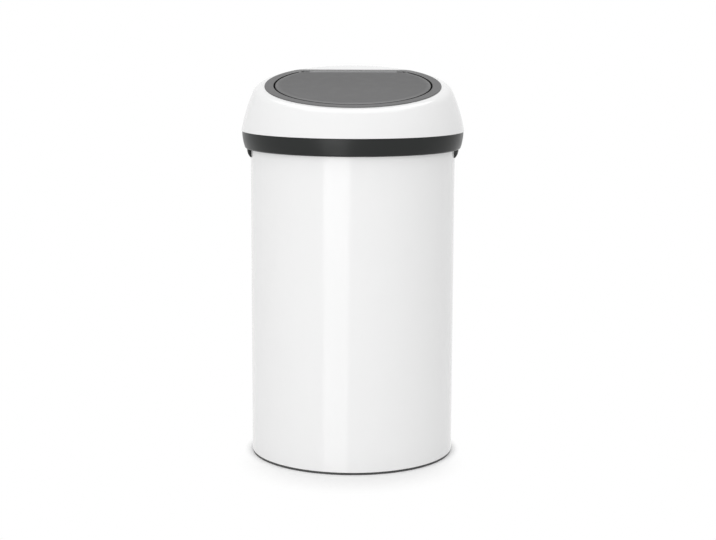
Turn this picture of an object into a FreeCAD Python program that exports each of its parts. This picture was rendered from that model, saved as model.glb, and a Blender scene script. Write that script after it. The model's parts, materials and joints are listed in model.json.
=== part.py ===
# Touch-top waste bin: a painted drum, a dark rim and a sloping hood with a sprung flap.
# Millimetres, +Z up, the front faces -Y. The origin is on the floor, on the drum's axis.
import FreeCAD
import Part
import math
import os

Vector = FreeCAD.Vector
Placement = FreeCAD.Placement
Rotation = FreeCAD.Rotation
AXIS_X = Vector(1, 0, 0)
AXIS_Y = Vector(0, 1, 0)
AXIS_Z = Vector(0, 0, 1)

# Clearances
SEAT_GAP = 0.3
HOLE_GAP = 0.1
RUNNING_GAP = 0.05
PARTING_GAP = 0.5

# Drum, floor and base ring
DRUM_RADIUS = 174.5
DRUM_HEIGHT = 551.7
DRUM_WALL = 0.8
HEM_WIDTH = 9.0
BASE_BAND = 4.0
BASE_INSET = 0.8
BASE_FACE = 13.0
BASE_ROUND = 1.0
LIP_WALL = 2.4
LIP_RISE = 1.6
LIP_BEAD = 0.8
FLOOR_GAUGE = 0.8
FLOOR_DISH = 3.0
FLOOR_BORDER = 26.0

# Rim ring
RIM_OVERHANG = 15.5
RIM_HEIGHT = 29.3
RIM_STEP = 1.2
RIM_TUCK = 5.2
RIM_WALL = 2.6
RIM_DECK = 2.5
RIM_LIP = 5.0
RIM_ROUND = 4.0
COLLAR_WALL = 2.4
COLLAR_DROP = 15.0
COLLAR_RISE = 8.0
WEB_WALL = 2.4
WEB_DROP = 14.0

# Carrying grips
GRIP_ANGLE = 22.0
GRIP_HEIGHT = 14.0
GRIP_SETBACK = 2.8
GRIP_TOE = 1.4
GRIP_BULGE = 1.5
GRIP_ROUND = 1.2
GRIP_RIVET_ANGLE = 12.0
GRIP_RIVET_DROP = 5.0

# Rivets and screws
RIVET_RADIUS = 2.0
RIVET_HEAD_RADIUS = 3.6
RIVET_HEAD = 1.4
RIVET_TAIL = 1.2
RIVET_BITE = 4.0
RIM_RIVETS = 6
RIM_RIVET_DROP = 10.0
SCREW_RADIUS = 1.6
SCREW_HEAD_RADIUS = 3.2
SCREW_HEAD = 1.8
SCREW_BITE = 7.0
SLOT_WIDTH = 0.8
SLOT_DEPTH = 0.7

# Hood
HOOD_RISE = 75.5
HOOD_INSET = 24.5
HOOD_BULGE = 3.3
HOOD_TILT = 11.0
HOOD_WALL = 1.2
HOOD_FLANGE = 6.5
SHOULDER_ROUND = 18.0

# Ring inside the hood's lower edge
CARRIER_FLOOR = 2.4
CARRIER_WALL = 2.4
CARRIER_RISE = 11.0
CARRIER_PLAY = 1.0
CARRIER_REACH = 3.0
HINGE_BOSS_DEPTH = 7.0
BUFFERS = 4
BUFFER_RADIUS = 2.0
BUFFER_HEAD_RADIUS = 3.2
BUFFER_HEAD = 1.2

# Hood hinge
HINGE_OUT = 7.5
HINGE_DROP = 4.5
HINGE_WIDTH = 92.0
HINGE_MIDDLE = 44.0
KNUCKLE_RADIUS = 5.5
HINGE_PIN_RADIUS = 2.0
PAD_WALL = 4.0
PAD_HEIGHT = 15.0
KNUCKLE_SWING_GAP = 1.5
LEAF_WALL = 3.5
LEAF_HEIGHT = 27.0
LEAF_LIFT = 2.5
LEAF_WIDTH = 76.0
PLATE_CORNER = 5.0
HINGE_SCREW_EDGE = 5.0

# Flap frame, measured in the plane of the slope
FRAME_INSET = 15.0
FRAME_WIDTH = 15.7
BAR_WIDTH = 9.0
CHORD_SHARE = 0.785
THROAT_CORNER = 6.0
FRAME_PROUD = 1.5
FRAME_ROUND = 1.2
SKIRT_WALL = 2.5
SKIRT_DEPTH = 26.0
BOSS_RADIUS = 4.0
BOSS_LENGTH = 12.0
BOSS_ANGLE = 250.0
BOSS_COUNT = 9
OPENING_PLAY = 0.8
RETAINER_FLOOR = 2.2
RETAINER_WALL = 2.5

# Flap and its hinge
FLAP_GAP = 1.8
FLAP_BACK = 5.5
FLAP_CORNER = 5.0
FLAP_TOP = 1.8
FLAP_CROWN = 2.0
FLAP_ROLL = 16.0
FLAP_DEPTH = 8.8
FLAP_WALL = 2.5
FLAP_ROUND = 0.8
FLAP_SCREWS = 6
INNER_SETBACK = 1.2
INNER_WALL = 2.2
INNER_ROUND = 1.5
INNER_BORDER = 20.0
INNER_RECESS = 0.8
BARREL_RADIUS = 4.8
BARREL_GAP = 0.7
BARREL_SINK = 1.5
KNUCKLE_WEB = 2.5
EAR_RADIUS = 5.0
EAR_LENGTH = 10.0
EAR_ROOM = 13.1
EAR_GAP = 0.4
BUSH_RADIUS = 3.2
FLAP_PIN_RADIUS = 2.0

# Opening spring on the flap's hinge
SPRING_WIRE = 1.2
SPRING_RADIUS = 3.0
SPRING_TURNS = 8
SPRING_PITCH = 1.8
SPRING_POCKET_GAP = 0.5
SPRING_FIXED_LEG = 14.0
SPRING_FREE_LEG = 22.0
SPRING_BEND = 3.0

# Touch latch
TOUCH_ANGLE = 1.0
LATCH_INSET = 13.0
STRIKER_PLATE = 2.0
STRIKER_WIDTH = 36.0
STRIKER_DEPTH = 10.0
STRIKER_SCREW_SPREAD = 26.0
TONGUE_WIDTH = 12.0
TONGUE_WALL = 3.0
TONGUE_LENGTH = 8.0
TONGUE_HEAD = 5.4
TONGUE_HEAD_HEIGHT = 3.0
JAW_GAP = 1.2
JAW_WALL = 2.0
JAW_HEIGHT = 6.0
SLIDER_WIDTH = 20.0
SLIDER_DEPTH = 13.0
SLIDER_HEIGHT = 16.0
SLIDER_BORE_RADIUS = 5.3
SLIDER_CROWN = 5.0
SLIDER_SHOW = 2.4
HOUSING_WALL = 2.8
HOUSING_FLOOR = 2.5
HOUSING_SPRING_ROOM = 8.0
LATCH_PLATE = 2.5
LATCH_PLATE_WIDTH = 34.0
LATCH_PLATE_CLEAR = 1.5
LATCH_PLATE_FOOT = 12.0
LATCH_SCREW_SPREAD = 20.0
COIL_WIRE = 1.2
COIL_RADIUS = 4.0
COIL_TURNS = 6

# Levels and radii that follow from the sizes above
DRUM_INSIDE = DRUM_RADIUS - DRUM_WALL
DRUM_BOTTOM = BASE_BAND
DRUM_TOP = DRUM_BOTTOM + DRUM_HEIGHT
HEM_TOP = DRUM_BOTTOM + DRUM_WALL
HEM_RADIUS = DRUM_INSIDE - HEM_WIDTH
DECK_UNDER = DRUM_TOP + SEAT_GAP
RIM_TOP = DECK_UNDER + RIM_DECK
RIM_BOTTOM = RIM_TOP - RIM_HEIGHT
RIM_RADIUS = DRUM_RADIUS + RIM_OVERHANG
RIM_CREST = RIM_RADIUS - RIM_STEP
RIM_FOOT = RIM_CREST - RIM_TUCK
COLLAR_RADIUS = DRUM_INSIDE - SEAT_GAP
COLLAR_INSIDE = COLLAR_RADIUS - COLLAR_WALL
WEB_INSIDE = DRUM_RADIUS + SEAT_GAP
WEB_BOTTOM = DECK_UNDER - WEB_DROP
RIM_RIVET_Z = RIM_TOP - RIM_RIVET_DROP
RIM_RIVET_GRIP = WEB_INSIDE + WEB_WALL - COLLAR_INSIDE + 2 * HOLE_GAP
GRIP_SHOULDER = RIM_BOTTOM - SEAT_GAP
GRIP_RIVET_Z = GRIP_SHOULDER - GRIP_RIVET_DROP
HOOD_BOTTOM = RIM_TOP + PARTING_GAP
SLOPE_Z = HOOD_BOTTOM + HOOD_RISE
CARRIER_BOTTOM = HOOD_BOTTOM + HOOD_WALL + SEAT_GAP
CARRIER_INSIDE = COLLAR_RADIUS + CARRIER_PLAY
CARRIER_RADIUS = RIM_RADIUS - CARRIER_REACH
HINGE_Y = RIM_RADIUS + HINGE_OUT
HINGE_Z = RIM_TOP - HINGE_DROP
PAD_TOP = HINGE_Z - KNUCKLE_RADIUS - KNUCKLE_SWING_GAP
LEAF_BOTTOM = HOOD_BOTTOM + LEAF_LIFT
PAD_SCREW_Z = PAD_TOP - PAD_HEIGHT / 2
HINGE_SCREW_SPREAD = LEAF_WIDTH - 2 * HINGE_SCREW_EDGE
LEAF_SCREW_Z = LEAF_BOTTOM + LEAF_HEIGHT * 2 / 3
HOOD_TOP_RADIUS = RIM_RADIUS - HOOD_INSET
THROAT_RADIUS = HOOD_TOP_RADIUS - FRAME_INSET - FRAME_WIDTH
THROAT_CHORD = THROAT_RADIUS * CHORD_SHARE
FLAP_RADIUS = THROAT_RADIUS - FLAP_GAP
HINGE_V = THROAT_CHORD - BARREL_GAP - BARREL_RADIUS
HINGE_W = -BARREL_SINK
BARREL_LENGTH = 2 * (math.sqrt(THROAT_RADIUS ** 2 - HINGE_V ** 2) - EAR_ROOM)
FLAP_CHORD = HINGE_V - FLAP_BACK
RECESS_RADIUS = FLAP_RADIUS - INNER_SETBACK - INNER_BORDER
RECESS_CHORD = FLAP_CHORD - INNER_SETBACK - INNER_BORDER
FLAP_SCREW_RADIUS = (RECESS_CHORD - 2 * SCREW_HEAD_RADIUS) / math.sin(2 * math.pi / FLAP_SCREWS)
FLAP_BOTTOM = FLAP_TOP - FLAP_DEPTH
INNER_BOTTOM = FLAP_BOTTOM - INNER_WALL
BOSS_OFFSET = SKIRT_WALL + BOSS_RADIUS - HOLE_GAP
OPENING_OFFSET = BOSS_OFFSET + BOSS_RADIUS + OPENING_PLAY
RETAINER_OFFSET = OPENING_OFFSET + OPENING_PLAY + RETAINER_WALL
RETAINER_TOP = -BOSS_LENGTH - SEAT_GAP
RETAINER_BOTTOM = RETAINER_TOP - RETAINER_FLOOR
LATCH_V = LATCH_INSET - FLAP_RADIUS
TONGUE_TIP = INNER_BOTTOM - STRIKER_PLATE - TONGUE_LENGTH - TONGUE_HEAD_HEIGHT
SLIDER_TOP = TONGUE_TIP - SEAT_GAP
SLIDER_BOTTOM = SLIDER_TOP - SLIDER_HEIGHT
TOUCH_TRAVEL = (HINGE_V - LATCH_V) * math.radians(TOUCH_ANGLE)
SLIDER_SWAY = (HINGE_W - SLIDER_BOTTOM) * math.radians(TOUCH_ANGLE)
HOUSING_TOP = SLIDER_TOP - SLIDER_SHOW
HOUSING_INSIDE = SLIDER_BOTTOM - HOUSING_SPRING_ROOM
HOUSING_BOTTOM = HOUSING_INSIDE - HOUSING_FLOOR
LATCH_PLATE_TOP = INNER_BOTTOM - TOUCH_TRAVEL - LATCH_PLATE_CLEAR
LATCH_PLATE_BOTTOM = LATCH_PLATE_TOP - LATCH_PLATE_FOOT
LATCH_SCREW_W = (LATCH_PLATE_TOP - SKIRT_DEPTH) / 2
SLOPE = Placement(Vector(0, 0, SLOPE_Z), Rotation(AXIS_X, HOOD_TILT))


# Shared shapes

def face_of(points):
    """Flat face with straight sides through the points."""
    return Part.Face(Part.makePolygon(points + points[:1]))


def turned(profile):
    """Solid turned about the drum's axis from (radius, height) corners."""
    return face_of([Vector(r, 0, z) for r, z in profile]).revolve(Vector(), AXIS_Z, 360)


def tube(inside, outside, low, high):
    return turned([(inside, low), (outside, low), (outside, high), (inside, high)])


def box(x_span, y_span, z_span):
    """Box between two values on each axis."""
    low = Vector(x_span[0], y_span[0], z_span[0])
    size = [span[1] - span[0] for span in (x_span, y_span, z_span)]
    return Part.makeBox(size[0], size[1], size[2], low)


def rounded_at(level, x_span, y_span, z_span):
    """Box with rounded corners, seen along Y, at one height."""
    plate = box(x_span, y_span, z_span)
    along = [edge for edge in plate.Edges
             if edge.BoundBox.YLength > PLATE_CORNER and abs(edge.CenterOfMass.z - level) < HOLE_GAP]
    return plate.makeFillet(PLATE_CORNER, along)


def rod_x(radius, start, end, y, z):
    """Cylinder along X."""
    return Part.makeCylinder(radius, end - start, Vector(start, y, z), AXIS_X)


def pinned(radius, low, high, x, y):
    """Cylinder along Z."""
    return Part.makeCylinder(radius, high - low, Vector(x, y, low), AXIS_Z)


def joined(shapes):
    return shapes[0].multiFuse(shapes[1:]).removeSplitter()


def outward(shape, angle, radius, height):
    """Move a shape made along +X so that its origin sits at that radius, pointing outwards."""
    moved = shape.copy()
    turn = Rotation(AXIS_Z, angle)
    place = Placement(turn.multVec(Vector(radius, 0, 0)) + AXIS_Z * height, turn)
    moved.Placement = place.multiply(moved.Placement)
    return moved


def inward(shape, angle, radius, height):
    """Move a shape made along +X so that its origin sits at that radius, pointing inwards."""
    flipped = shape.copy()
    flipped.rotate(Vector(), AXIS_Z, 180)
    return outward(flipped, angle, radius, height)


def on_slope(shape):
    """Move a shape from the slope's own plane to its place on the hood."""
    moved = shape.copy()
    moved.Placement = SLOPE.multiply(moved.Placement)
    return moved


def level_rings(shape, radius, height):
    """Round edges about the drum's axis at that radius and height."""
    found = []
    for edge in shape.Edges:
        if isinstance(edge.Curve, Part.Circle):
            near = abs(edge.Curve.Radius - radius) < HOLE_GAP
            if near and abs(edge.Curve.Center.z - height) < HOLE_GAP:
                found.append(edge)
    return found


def edges_at_level(shape, height):
    """Edges that lie wholly at one height."""
    return [edge for edge in shape.Edges
            if abs(edge.BoundBox.ZMin - height) < HOLE_GAP
            and abs(edge.BoundBox.ZMax - height) < HOLE_GAP]


def screw(length):
    """Slotted screw along +X, with the underside of its head at the origin."""
    head = Part.makeCylinder(SCREW_HEAD_RADIUS, SCREW_HEAD, Vector(-SCREW_HEAD, 0, 0), AXIS_X)
    shank = Part.makeCylinder(SCREW_RADIUS, length, Vector(), AXIS_X)
    half = SLOT_WIDTH / 2
    across = SCREW_HEAD_RADIUS + SLOT_WIDTH
    slot = box((-SCREW_HEAD, SLOT_DEPTH - SCREW_HEAD), (-half, half), (-across, across))
    return joined([head, shank]).cut(slot)


def screw_hole(length):
    return Part.makeCylinder(SCREW_RADIUS + HOLE_GAP, length, Vector(), AXIS_X)


def screw_up(x, y, low, length):
    """Screw along +Z with its head below the given level."""
    upright = screw(length)
    upright.rotate(Vector(), AXIS_Y, -90)
    upright.translate(Vector(x, y, low))
    return upright


def rivet(grip, tail):
    """Rivet along +X with its head at the origin and, if asked for, a tail past the grip."""
    shapes = [
        Part.makeCylinder(RIVET_HEAD_RADIUS, RIVET_HEAD, Vector(-RIVET_HEAD, 0, 0), AXIS_X),
        Part.makeCylinder(RIVET_RADIUS, grip, Vector(), AXIS_X),
    ]
    if tail:
        shapes.append(Part.makeCylinder(RIVET_HEAD_RADIUS, RIVET_TAIL, Vector(grip, 0, 0), AXIS_X))
    return joined(shapes)


def rivet_hole(length):
    return Part.makeCylinder(RIVET_RADIUS + HOLE_GAP, length, Vector(), AXIS_X)


# Drum, floor and base ring

def rim_rivet_angles():
    step = 360.0 / RIM_RIVETS
    return [step * (place + 0.5) for place in range(RIM_RIVETS)]


def grip_rivet_angles(side):
    return [side - GRIP_RIVET_ANGLE / 2, side + GRIP_RIVET_ANGLE / 2]


def all_rivet_holes():
    """Holes through collar, drum and web, and into the grips, from the inside outwards."""
    holes = [outward(rivet_hole(RIM_RIVET_GRIP), angle, COLLAR_INSIDE - HOLE_GAP, RIM_RIVET_Z)
             for angle in rim_rivet_angles()]
    for side in (0, 180):
        holes += [outward(rivet_hole(RIVET_BITE + DRUM_WALL + HOLE_GAP), angle,
                          DRUM_INSIDE - HOLE_GAP, GRIP_RIVET_Z)
                  for angle in grip_rivet_angles(side)]
    return Part.makeCompound(holes)


def drum():
    """Painted cylinder with a hem turned in at its foot."""
    shell = turned([
        (HEM_RADIUS, DRUM_BOTTOM), (DRUM_RADIUS, DRUM_BOTTOM), (DRUM_RADIUS, DRUM_TOP),
        (DRUM_INSIDE, DRUM_TOP), (DRUM_INSIDE, HEM_TOP), (HEM_RADIUS, HEM_TOP)])
    shell = shell.makeFillet(DRUM_WALL, level_rings(shell, DRUM_RADIUS, DRUM_BOTTOM))
    return shell.cut(all_rivet_holes())


def floor_plate():
    """Floor panel that lies on the base ring's lip by its border, raised in the middle."""
    edge = DRUM_INSIDE - SEAT_GAP
    under = HEM_TOP + LIP_RISE + SEAT_GAP
    top = under + FLOOR_GAUGE
    foot = edge - FLOOR_BORDER
    dish = foot - FLOOR_DISH
    return turned([
        (0, under + FLOOR_DISH), (dish, under + FLOOR_DISH), (foot, under), (edge, under),
        (edge, top), (foot, top), (dish, top + FLOOR_DISH), (0, top + FLOOR_DISH)])


def base_ring():
    """Floor ring whose lip snaps over the drum's hem."""
    outside = DRUM_RADIUS - BASE_INSET
    inside = outside - BASE_FACE
    lip = HEM_RADIUS - SEAT_GAP
    bead = HEM_TOP + SEAT_GAP
    ring = turned([
        (inside, 0), (outside, 0), (outside, BASE_BAND), (lip, BASE_BAND), (lip, bead),
        (lip + LIP_BEAD, bead), (lip, HEM_TOP + LIP_RISE), (lip - LIP_WALL, HEM_TOP + LIP_RISE),
        (lip - LIP_WALL, BASE_BAND), (inside, BASE_BAND)])
    return ring.makeFillet(BASE_ROUND, level_rings(ring, outside, 0))


# Rim ring and carrying grips

def rim_side(grow):
    """Bowed side of the rim, upright at its top, moved outwards by grow."""
    middle = RIM_CREST - RIM_TUCK / 4
    return Part.Arc(
        Vector(RIM_FOOT + grow, 0, RIM_BOTTOM),
        Vector(middle + grow, 0, (RIM_BOTTOM + RIM_TOP) / 2),
        Vector(RIM_CREST + grow, 0, RIM_TOP)).toShape()


def rim_radius(height):
    """Radius of the rim's bowed side at a height."""
    bow = rim_side(0).Curve
    return bow.Center.x + math.sqrt(bow.Radius ** 2 - (height - bow.Center.z) ** 2)


def rim_body(grow):
    """Filled solid of the rim's outside, for cutting what lies against it."""
    side = rim_side(grow)
    low, high = Vector(0, 0, RIM_BOTTOM), Vector(0, 0, RIM_TOP)
    foot, top = Vector(RIM_FOOT + grow, 0, RIM_BOTTOM), Vector(RIM_CREST + grow, 0, RIM_TOP)
    outline = Part.Wire([
        Part.makeLine(low, foot), side, Part.makeLine(top, high), Part.makeLine(high, low)])
    return Part.Face(outline).revolve(Vector(), AXIS_Z, 360)


def rim_ring():
    """Moulded ring: bowed side, deck, collar inside the drum and web outside it."""
    outer, inner = rim_side(0), rim_side(-RIM_WALL)
    outline = Part.Wire([
        outer,
        Part.makeLine(Vector(RIM_CREST, 0, RIM_TOP), Vector(RIM_CREST - RIM_WALL, 0, RIM_TOP)),
        inner,
        Part.makeLine(Vector(RIM_FOOT - RIM_WALL, 0, RIM_BOTTOM), Vector(RIM_FOOT, 0, RIM_BOTTOM))])
    side = Part.Face(outline).revolve(Vector(), AXIS_Z, 360)
    overlap = RIM_WALL / 2
    ring = joined([
        side,
        tube(COLLAR_INSIDE, RIM_CREST - overlap, DECK_UNDER, RIM_TOP),
        tube(COLLAR_INSIDE, COLLAR_RADIUS, DECK_UNDER - COLLAR_DROP, RIM_TOP + COLLAR_RISE),
        tube(WEB_INSIDE, WEB_INSIDE + WEB_WALL, WEB_BOTTOM, RIM_TOP),
        tube(RIM_FOOT - RIM_LIP, RIM_FOOT - overlap, RIM_BOTTOM, RIM_BOTTOM + RIM_WALL)])
    ring = ring.makeFillet(RIM_ROUND, level_rings(ring, RIM_FOOT, RIM_BOTTOM))
    holes = [inward(screw_hole(PAD_WALL + RIM_OVERHANG), angle, HINGE_Y, PAD_SCREW_Z)
             for angle in hinge_screw_angles()]
    return ring.cut(all_rivet_holes()).cut(Part.makeCompound(holes))


def carry_grip(side):
    """Rounded lug that fills the rim's underside and runs down to the drum."""
    inner = DRUM_RADIUS + SEAT_GAP
    neck = RIM_FOOT - RIM_LIP - SEAT_GAP
    outer = RIM_FOOT - GRIP_SETBACK
    top, bottom = WEB_BOTTOM - SEAT_GAP, GRIP_SHOULDER - GRIP_HEIGHT
    toe, shoulder = Vector(inner + GRIP_TOE, 0, bottom), Vector(outer, 0, GRIP_SHOULDER)
    across = (shoulder - toe).normalize()
    belly = (toe + shoulder) / 2 + Vector(across.z, 0, -across.x) * GRIP_BULGE
    corners = [shoulder, Vector(neck, 0, GRIP_SHOULDER), Vector(neck, 0, top),
               Vector(inner, 0, top), Vector(inner, 0, bottom), toe]
    edges = [Part.makeLine(start, end) for start, end in zip(corners, corners[1:])]
    edges.append(Part.Arc(toe, belly, shoulder).toShape())
    lug = Part.Face(Part.Wire(edges)).revolve(Vector(), AXIS_Z, GRIP_ANGLE)
    ends = [edge for edge in lug.Edges
            if isinstance(edge.Curve, Part.Circle) and abs(edge.Curve.Axis.z) < abs(edge.Curve.Axis.y)]
    lug = lug.makeFillet(GRIP_ROUND, ends)
    lug.rotate(Vector(), AXIS_Z, side - GRIP_ANGLE / 2)
    return lug.cut(all_rivet_holes())


def carry_grip_left():
    return carry_grip(180)


def carry_grip_right():
    return carry_grip(0)


def rim_rivets():
    return Part.makeCompound([
        outward(rivet(RIM_RIVET_GRIP, True), angle, COLLAR_INSIDE - HOLE_GAP, RIM_RIVET_Z)
        for angle in rim_rivet_angles()])


def grip_rivets():
    return Part.makeCompound([
        outward(rivet(RIVET_BITE + DRUM_WALL, False), angle, DRUM_INSIDE - HOLE_GAP, GRIP_RIVET_Z)
        for side in (0, 180) for angle in grip_rivet_angles(side)])


# Hood hinge

def hinge_screw_angles():
    lean = math.degrees(math.asin(HINGE_SCREW_SPREAD / 2 / RIM_RADIUS))
    return [90 - lean, 90 + lean]


def knuckle_spans():
    """Spans along X of the two outer knuckles."""
    near = HINGE_MIDDLE / 2 + SEAT_GAP
    far = HINGE_WIDTH / 2
    return [(-far, -near), (near, far)]


def hinge_bracket():
    """Curved pad on the rim with two knuckles for the hood's pin."""
    skin = rim_body(SEAT_GAP)
    half = HINGE_WIDTH / 2
    pad_bottom = PAD_TOP - PAD_HEIGHT
    pad = rim_body(SEAT_GAP + PAD_WALL).common(
        rounded_at(pad_bottom, (-half, half), (0, HINGE_Y), (pad_bottom, PAD_TOP)))
    shapes = [pad]
    for start, end in knuckle_spans():
        shapes.append(rod_x(KNUCKLE_RADIUS, start, end, HINGE_Y, HINGE_Z))
        shapes.append(box((start, end), (RIM_FOOT - half, HINGE_Y), (PAD_TOP - PAD_WALL, HINGE_Z)))
    block = joined(shapes).cut(skin)
    bore = rod_x(HINGE_PIN_RADIUS + RUNNING_GAP, -half, half, HINGE_Y, HINGE_Z)
    holes = [inward(screw_hole(PAD_WALL + RIM_OVERHANG), angle, HINGE_Y, PAD_SCREW_Z)
             for angle in hinge_screw_angles()]
    return block.cut(bore).cut(Part.makeCompound(head_sinks(pad_screw_seat(), PAD_SCREW_Z) + holes))


def pad_screw_seat():
    """Distance from the drum's axis to the flat that the bracket's screw heads stand on."""
    return rim_radius(PAD_SCREW_Z) + SEAT_GAP + PAD_WALL / 2


def head_sinks(seat, height):
    """Sinks that give the hinge's screw heads a flat to stand on."""
    sink = Part.makeCylinder(SCREW_HEAD_RADIUS + HOLE_GAP, HINGE_OUT, Vector(-HINGE_OUT, 0, 0), AXIS_X)
    return [inward(sink, angle, seat, height) for angle in hinge_screw_angles()]


def bracket_screws():
    return Part.makeCompound([
        inward(screw(SCREW_BITE), angle, pad_screw_seat(), PAD_SCREW_Z) for angle in hinge_screw_angles()])


def hood_hinge_pin():
    half = HINGE_WIDTH / 2
    return rod_x(HINGE_PIN_RADIUS, -half, half, HINGE_Y, HINGE_Z)


def leaf_screw_seat():
    """Distance from the drum's axis to the flat that the leaf's screw heads stand on."""
    return hood_back_radius(LEAF_SCREW_Z) + SEAT_GAP + LEAF_WALL / 2


def hinge_leaf():
    """Curved leaf on the back of the hood with the middle knuckle."""
    skin = hood_form(-SEAT_GAP)
    half, middle = LEAF_WIDTH / 2, HINGE_MIDDLE / 2
    leaf_top = LEAF_BOTTOM + LEAF_HEIGHT
    leaf = hood_form(-SEAT_GAP - LEAF_WALL).common(
        rounded_at(leaf_top, (-half, half), (0, HINGE_Y), (LEAF_BOTTOM, leaf_top)))
    arm = box((-middle, middle), (RIM_RADIUS + 2 * PARTING_GAP, HINGE_Y + HINGE_PIN_RADIUS),
              (HINGE_Z, LEAF_BOTTOM + KNUCKLE_RADIUS))
    knuckle = rod_x(KNUCKLE_RADIUS, -middle, middle, HINGE_Y, HINGE_Z)
    shape = joined([leaf, arm, knuckle]).cut(skin)
    bore = rod_x(HINGE_PIN_RADIUS + RUNNING_GAP, -middle, middle, HINGE_Y, HINGE_Z)
    sinks = head_sinks(leaf_screw_seat(), LEAF_SCREW_Z)
    return shape.cut(bore).cut(Part.makeCompound(sinks + leaf_screw_holes()))


def leaf_screw_holes():
    return [inward(screw_hole(SCREW_BITE + SEAT_GAP), angle, leaf_screw_seat(), LEAF_SCREW_Z)
            for angle in hinge_screw_angles()]


def leaf_screws():
    return Part.makeCompound([
        inward(screw(SCREW_BITE), angle, leaf_screw_seat(), LEAF_SCREW_Z)
        for angle in hinge_screw_angles()])


# Hood and the ring inside it

def hood_sections(inset):
    """Height, radius and tilt of the three rings that the hood's side runs through."""
    middle_radius = (RIM_RADIUS + HOOD_TOP_RADIUS) / 2 + HOOD_BULGE
    drop = inset / math.cos(math.radians(HOOD_TILT))
    return [
        (HOOD_BOTTOM, RIM_RADIUS - inset, 0),
        ((HOOD_BOTTOM + SLOPE_Z) / 2 - drop / 2, middle_radius - inset, HOOD_TILT / 2),
        (SLOPE_Z - drop, HOOD_TOP_RADIUS - inset, HOOD_TILT)]


def hood_form(inset):
    """Solid of the hood, drawn in by inset at its side and top."""
    rings = []
    for height, radius, tilt in hood_sections(inset):
        ring = Part.Wire(Part.makeCircle(radius))
        ring.Placement = Placement(Vector(0, 0, height), Rotation(AXIS_X, tilt))
        rings.append(ring)
    solid = Part.makeLoft(rings, True, False)
    top = hood_sections(inset)[-1][0]
    shoulder = [edge for edge in solid.Edges if abs(edge.CenterOfMass.z - top) < PARTING_GAP]
    return solid.makeFillet(SHOULDER_ROUND - inset, shoulder)


def hood_back_radius(height):
    """Distance from the axis to the hood's outside at the back, on the line of its lower half."""
    low, middle = hood_sections(0)[:2]
    tilt = math.radians(middle[2])
    back = middle[1] * math.cos(tilt)
    rise = middle[0] + middle[1] * math.sin(tilt) - low[0]
    return low[1] + (back - low[1]) * (height - low[0]) / rise


def hood_shell():
    """Domed shell with a flange turned in at its foot and the frame's opening in its slope."""
    above = box((-RIM_RADIUS, RIM_RADIUS), (-RIM_RADIUS, RIM_RADIUS),
                (HOOD_BOTTOM + HOOD_WALL, SLOPE_Z + RIM_RADIUS))
    hollow = hood_form(HOOD_WALL).common(above)
    mouth = pinned(RIM_RADIUS - HOOD_FLANGE, HOOD_BOTTOM - HOOD_WALL, CARRIER_BOTTOM, 0, 0)
    opening = on_slope(d_prism(
        THROAT_RADIUS + OPENING_OFFSET, THROAT_CHORD + SKIRT_WALL + OPENING_PLAY,
        THROAT_CORNER + OPENING_OFFSET, -2 * HOOD_WALL, 2 * HOOD_WALL))
    shell = hood_form(0).cut(hollow).cut(mouth).cut(opening)
    return shell.cut(Part.makeCompound(leaf_screw_holes()))


def hood_carrier():
    """Ring on the hood's flange that drops over the rim's collar and backs the hinge leaf."""
    top = CARRIER_BOTTOM + CARRIER_RISE
    ring = turned([
        (CARRIER_INSIDE, CARRIER_BOTTOM), (CARRIER_RADIUS, CARRIER_BOTTOM),
        (CARRIER_RADIUS, CARRIER_BOTTOM + CARRIER_FLOOR),
        (CARRIER_INSIDE + CARRIER_WALL, CARRIER_BOTTOM + CARRIER_FLOOR),
        (CARRIER_INSIDE + CARRIER_WALL, top), (CARRIER_INSIDE, top)])
    lining = hood_form(HOOD_WALL + SEAT_GAP)
    half = LEAF_WIDTH / 2
    block = box((-half, half), (CARRIER_INSIDE - half, HINGE_Y),
                (CARRIER_BOTTOM, LEAF_SCREW_Z + 2 * SCREW_HEAD_RADIUS))
    boss = block.common(lining).cut(hood_form(HOOD_WALL + SEAT_GAP + HINGE_BOSS_DEPTH))
    boss = boss.cut(pinned(CARRIER_INSIDE, HOOD_BOTTOM, SLOPE_Z + RIM_RADIUS, 0, 0))
    holes = [outward(pinned(BUFFER_RADIUS + HOLE_GAP, 0, CARRIER_RISE, 0, 0), angle,
                     buffer_radius(), HOOD_BOTTOM) for angle in buffer_angles()]
    ring = joined([ring.common(lining), boss]).cut(Part.makeCompound(holes))
    return ring.cut(Part.makeCompound(leaf_screw_holes()))


def buffer_angles():
    step = 360.0 / BUFFERS
    return [step * (place + 0.5) for place in range(BUFFERS)]


def buffer_radius():
    """Middle of the floor of the hood's ring that the flange leaves free."""
    return (CARRIER_INSIDE + CARRIER_WALL + RIM_RADIUS - HOOD_FLANGE) / 2


def hood_buffers():
    """Rubber buttons that stand in the hood's ring and land on the rim's deck."""
    stem_top = CARRIER_BOTTOM + CARRIER_FLOOR + HOLE_GAP
    foot_top = CARRIER_BOTTOM - HOLE_GAP
    button = joined([
        pinned(BUFFER_RADIUS, RIM_TOP + SEAT_GAP, stem_top, 0, 0),
        pinned(BUFFER_HEAD_RADIUS, RIM_TOP + SEAT_GAP, foot_top, 0, 0),
        pinned(BUFFER_HEAD_RADIUS, stem_top, stem_top + BUFFER_HEAD, 0, 0)])
    return Part.makeCompound([outward(button, angle, buffer_radius(), 0) for angle in buffer_angles()])


# Flap frame

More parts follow.
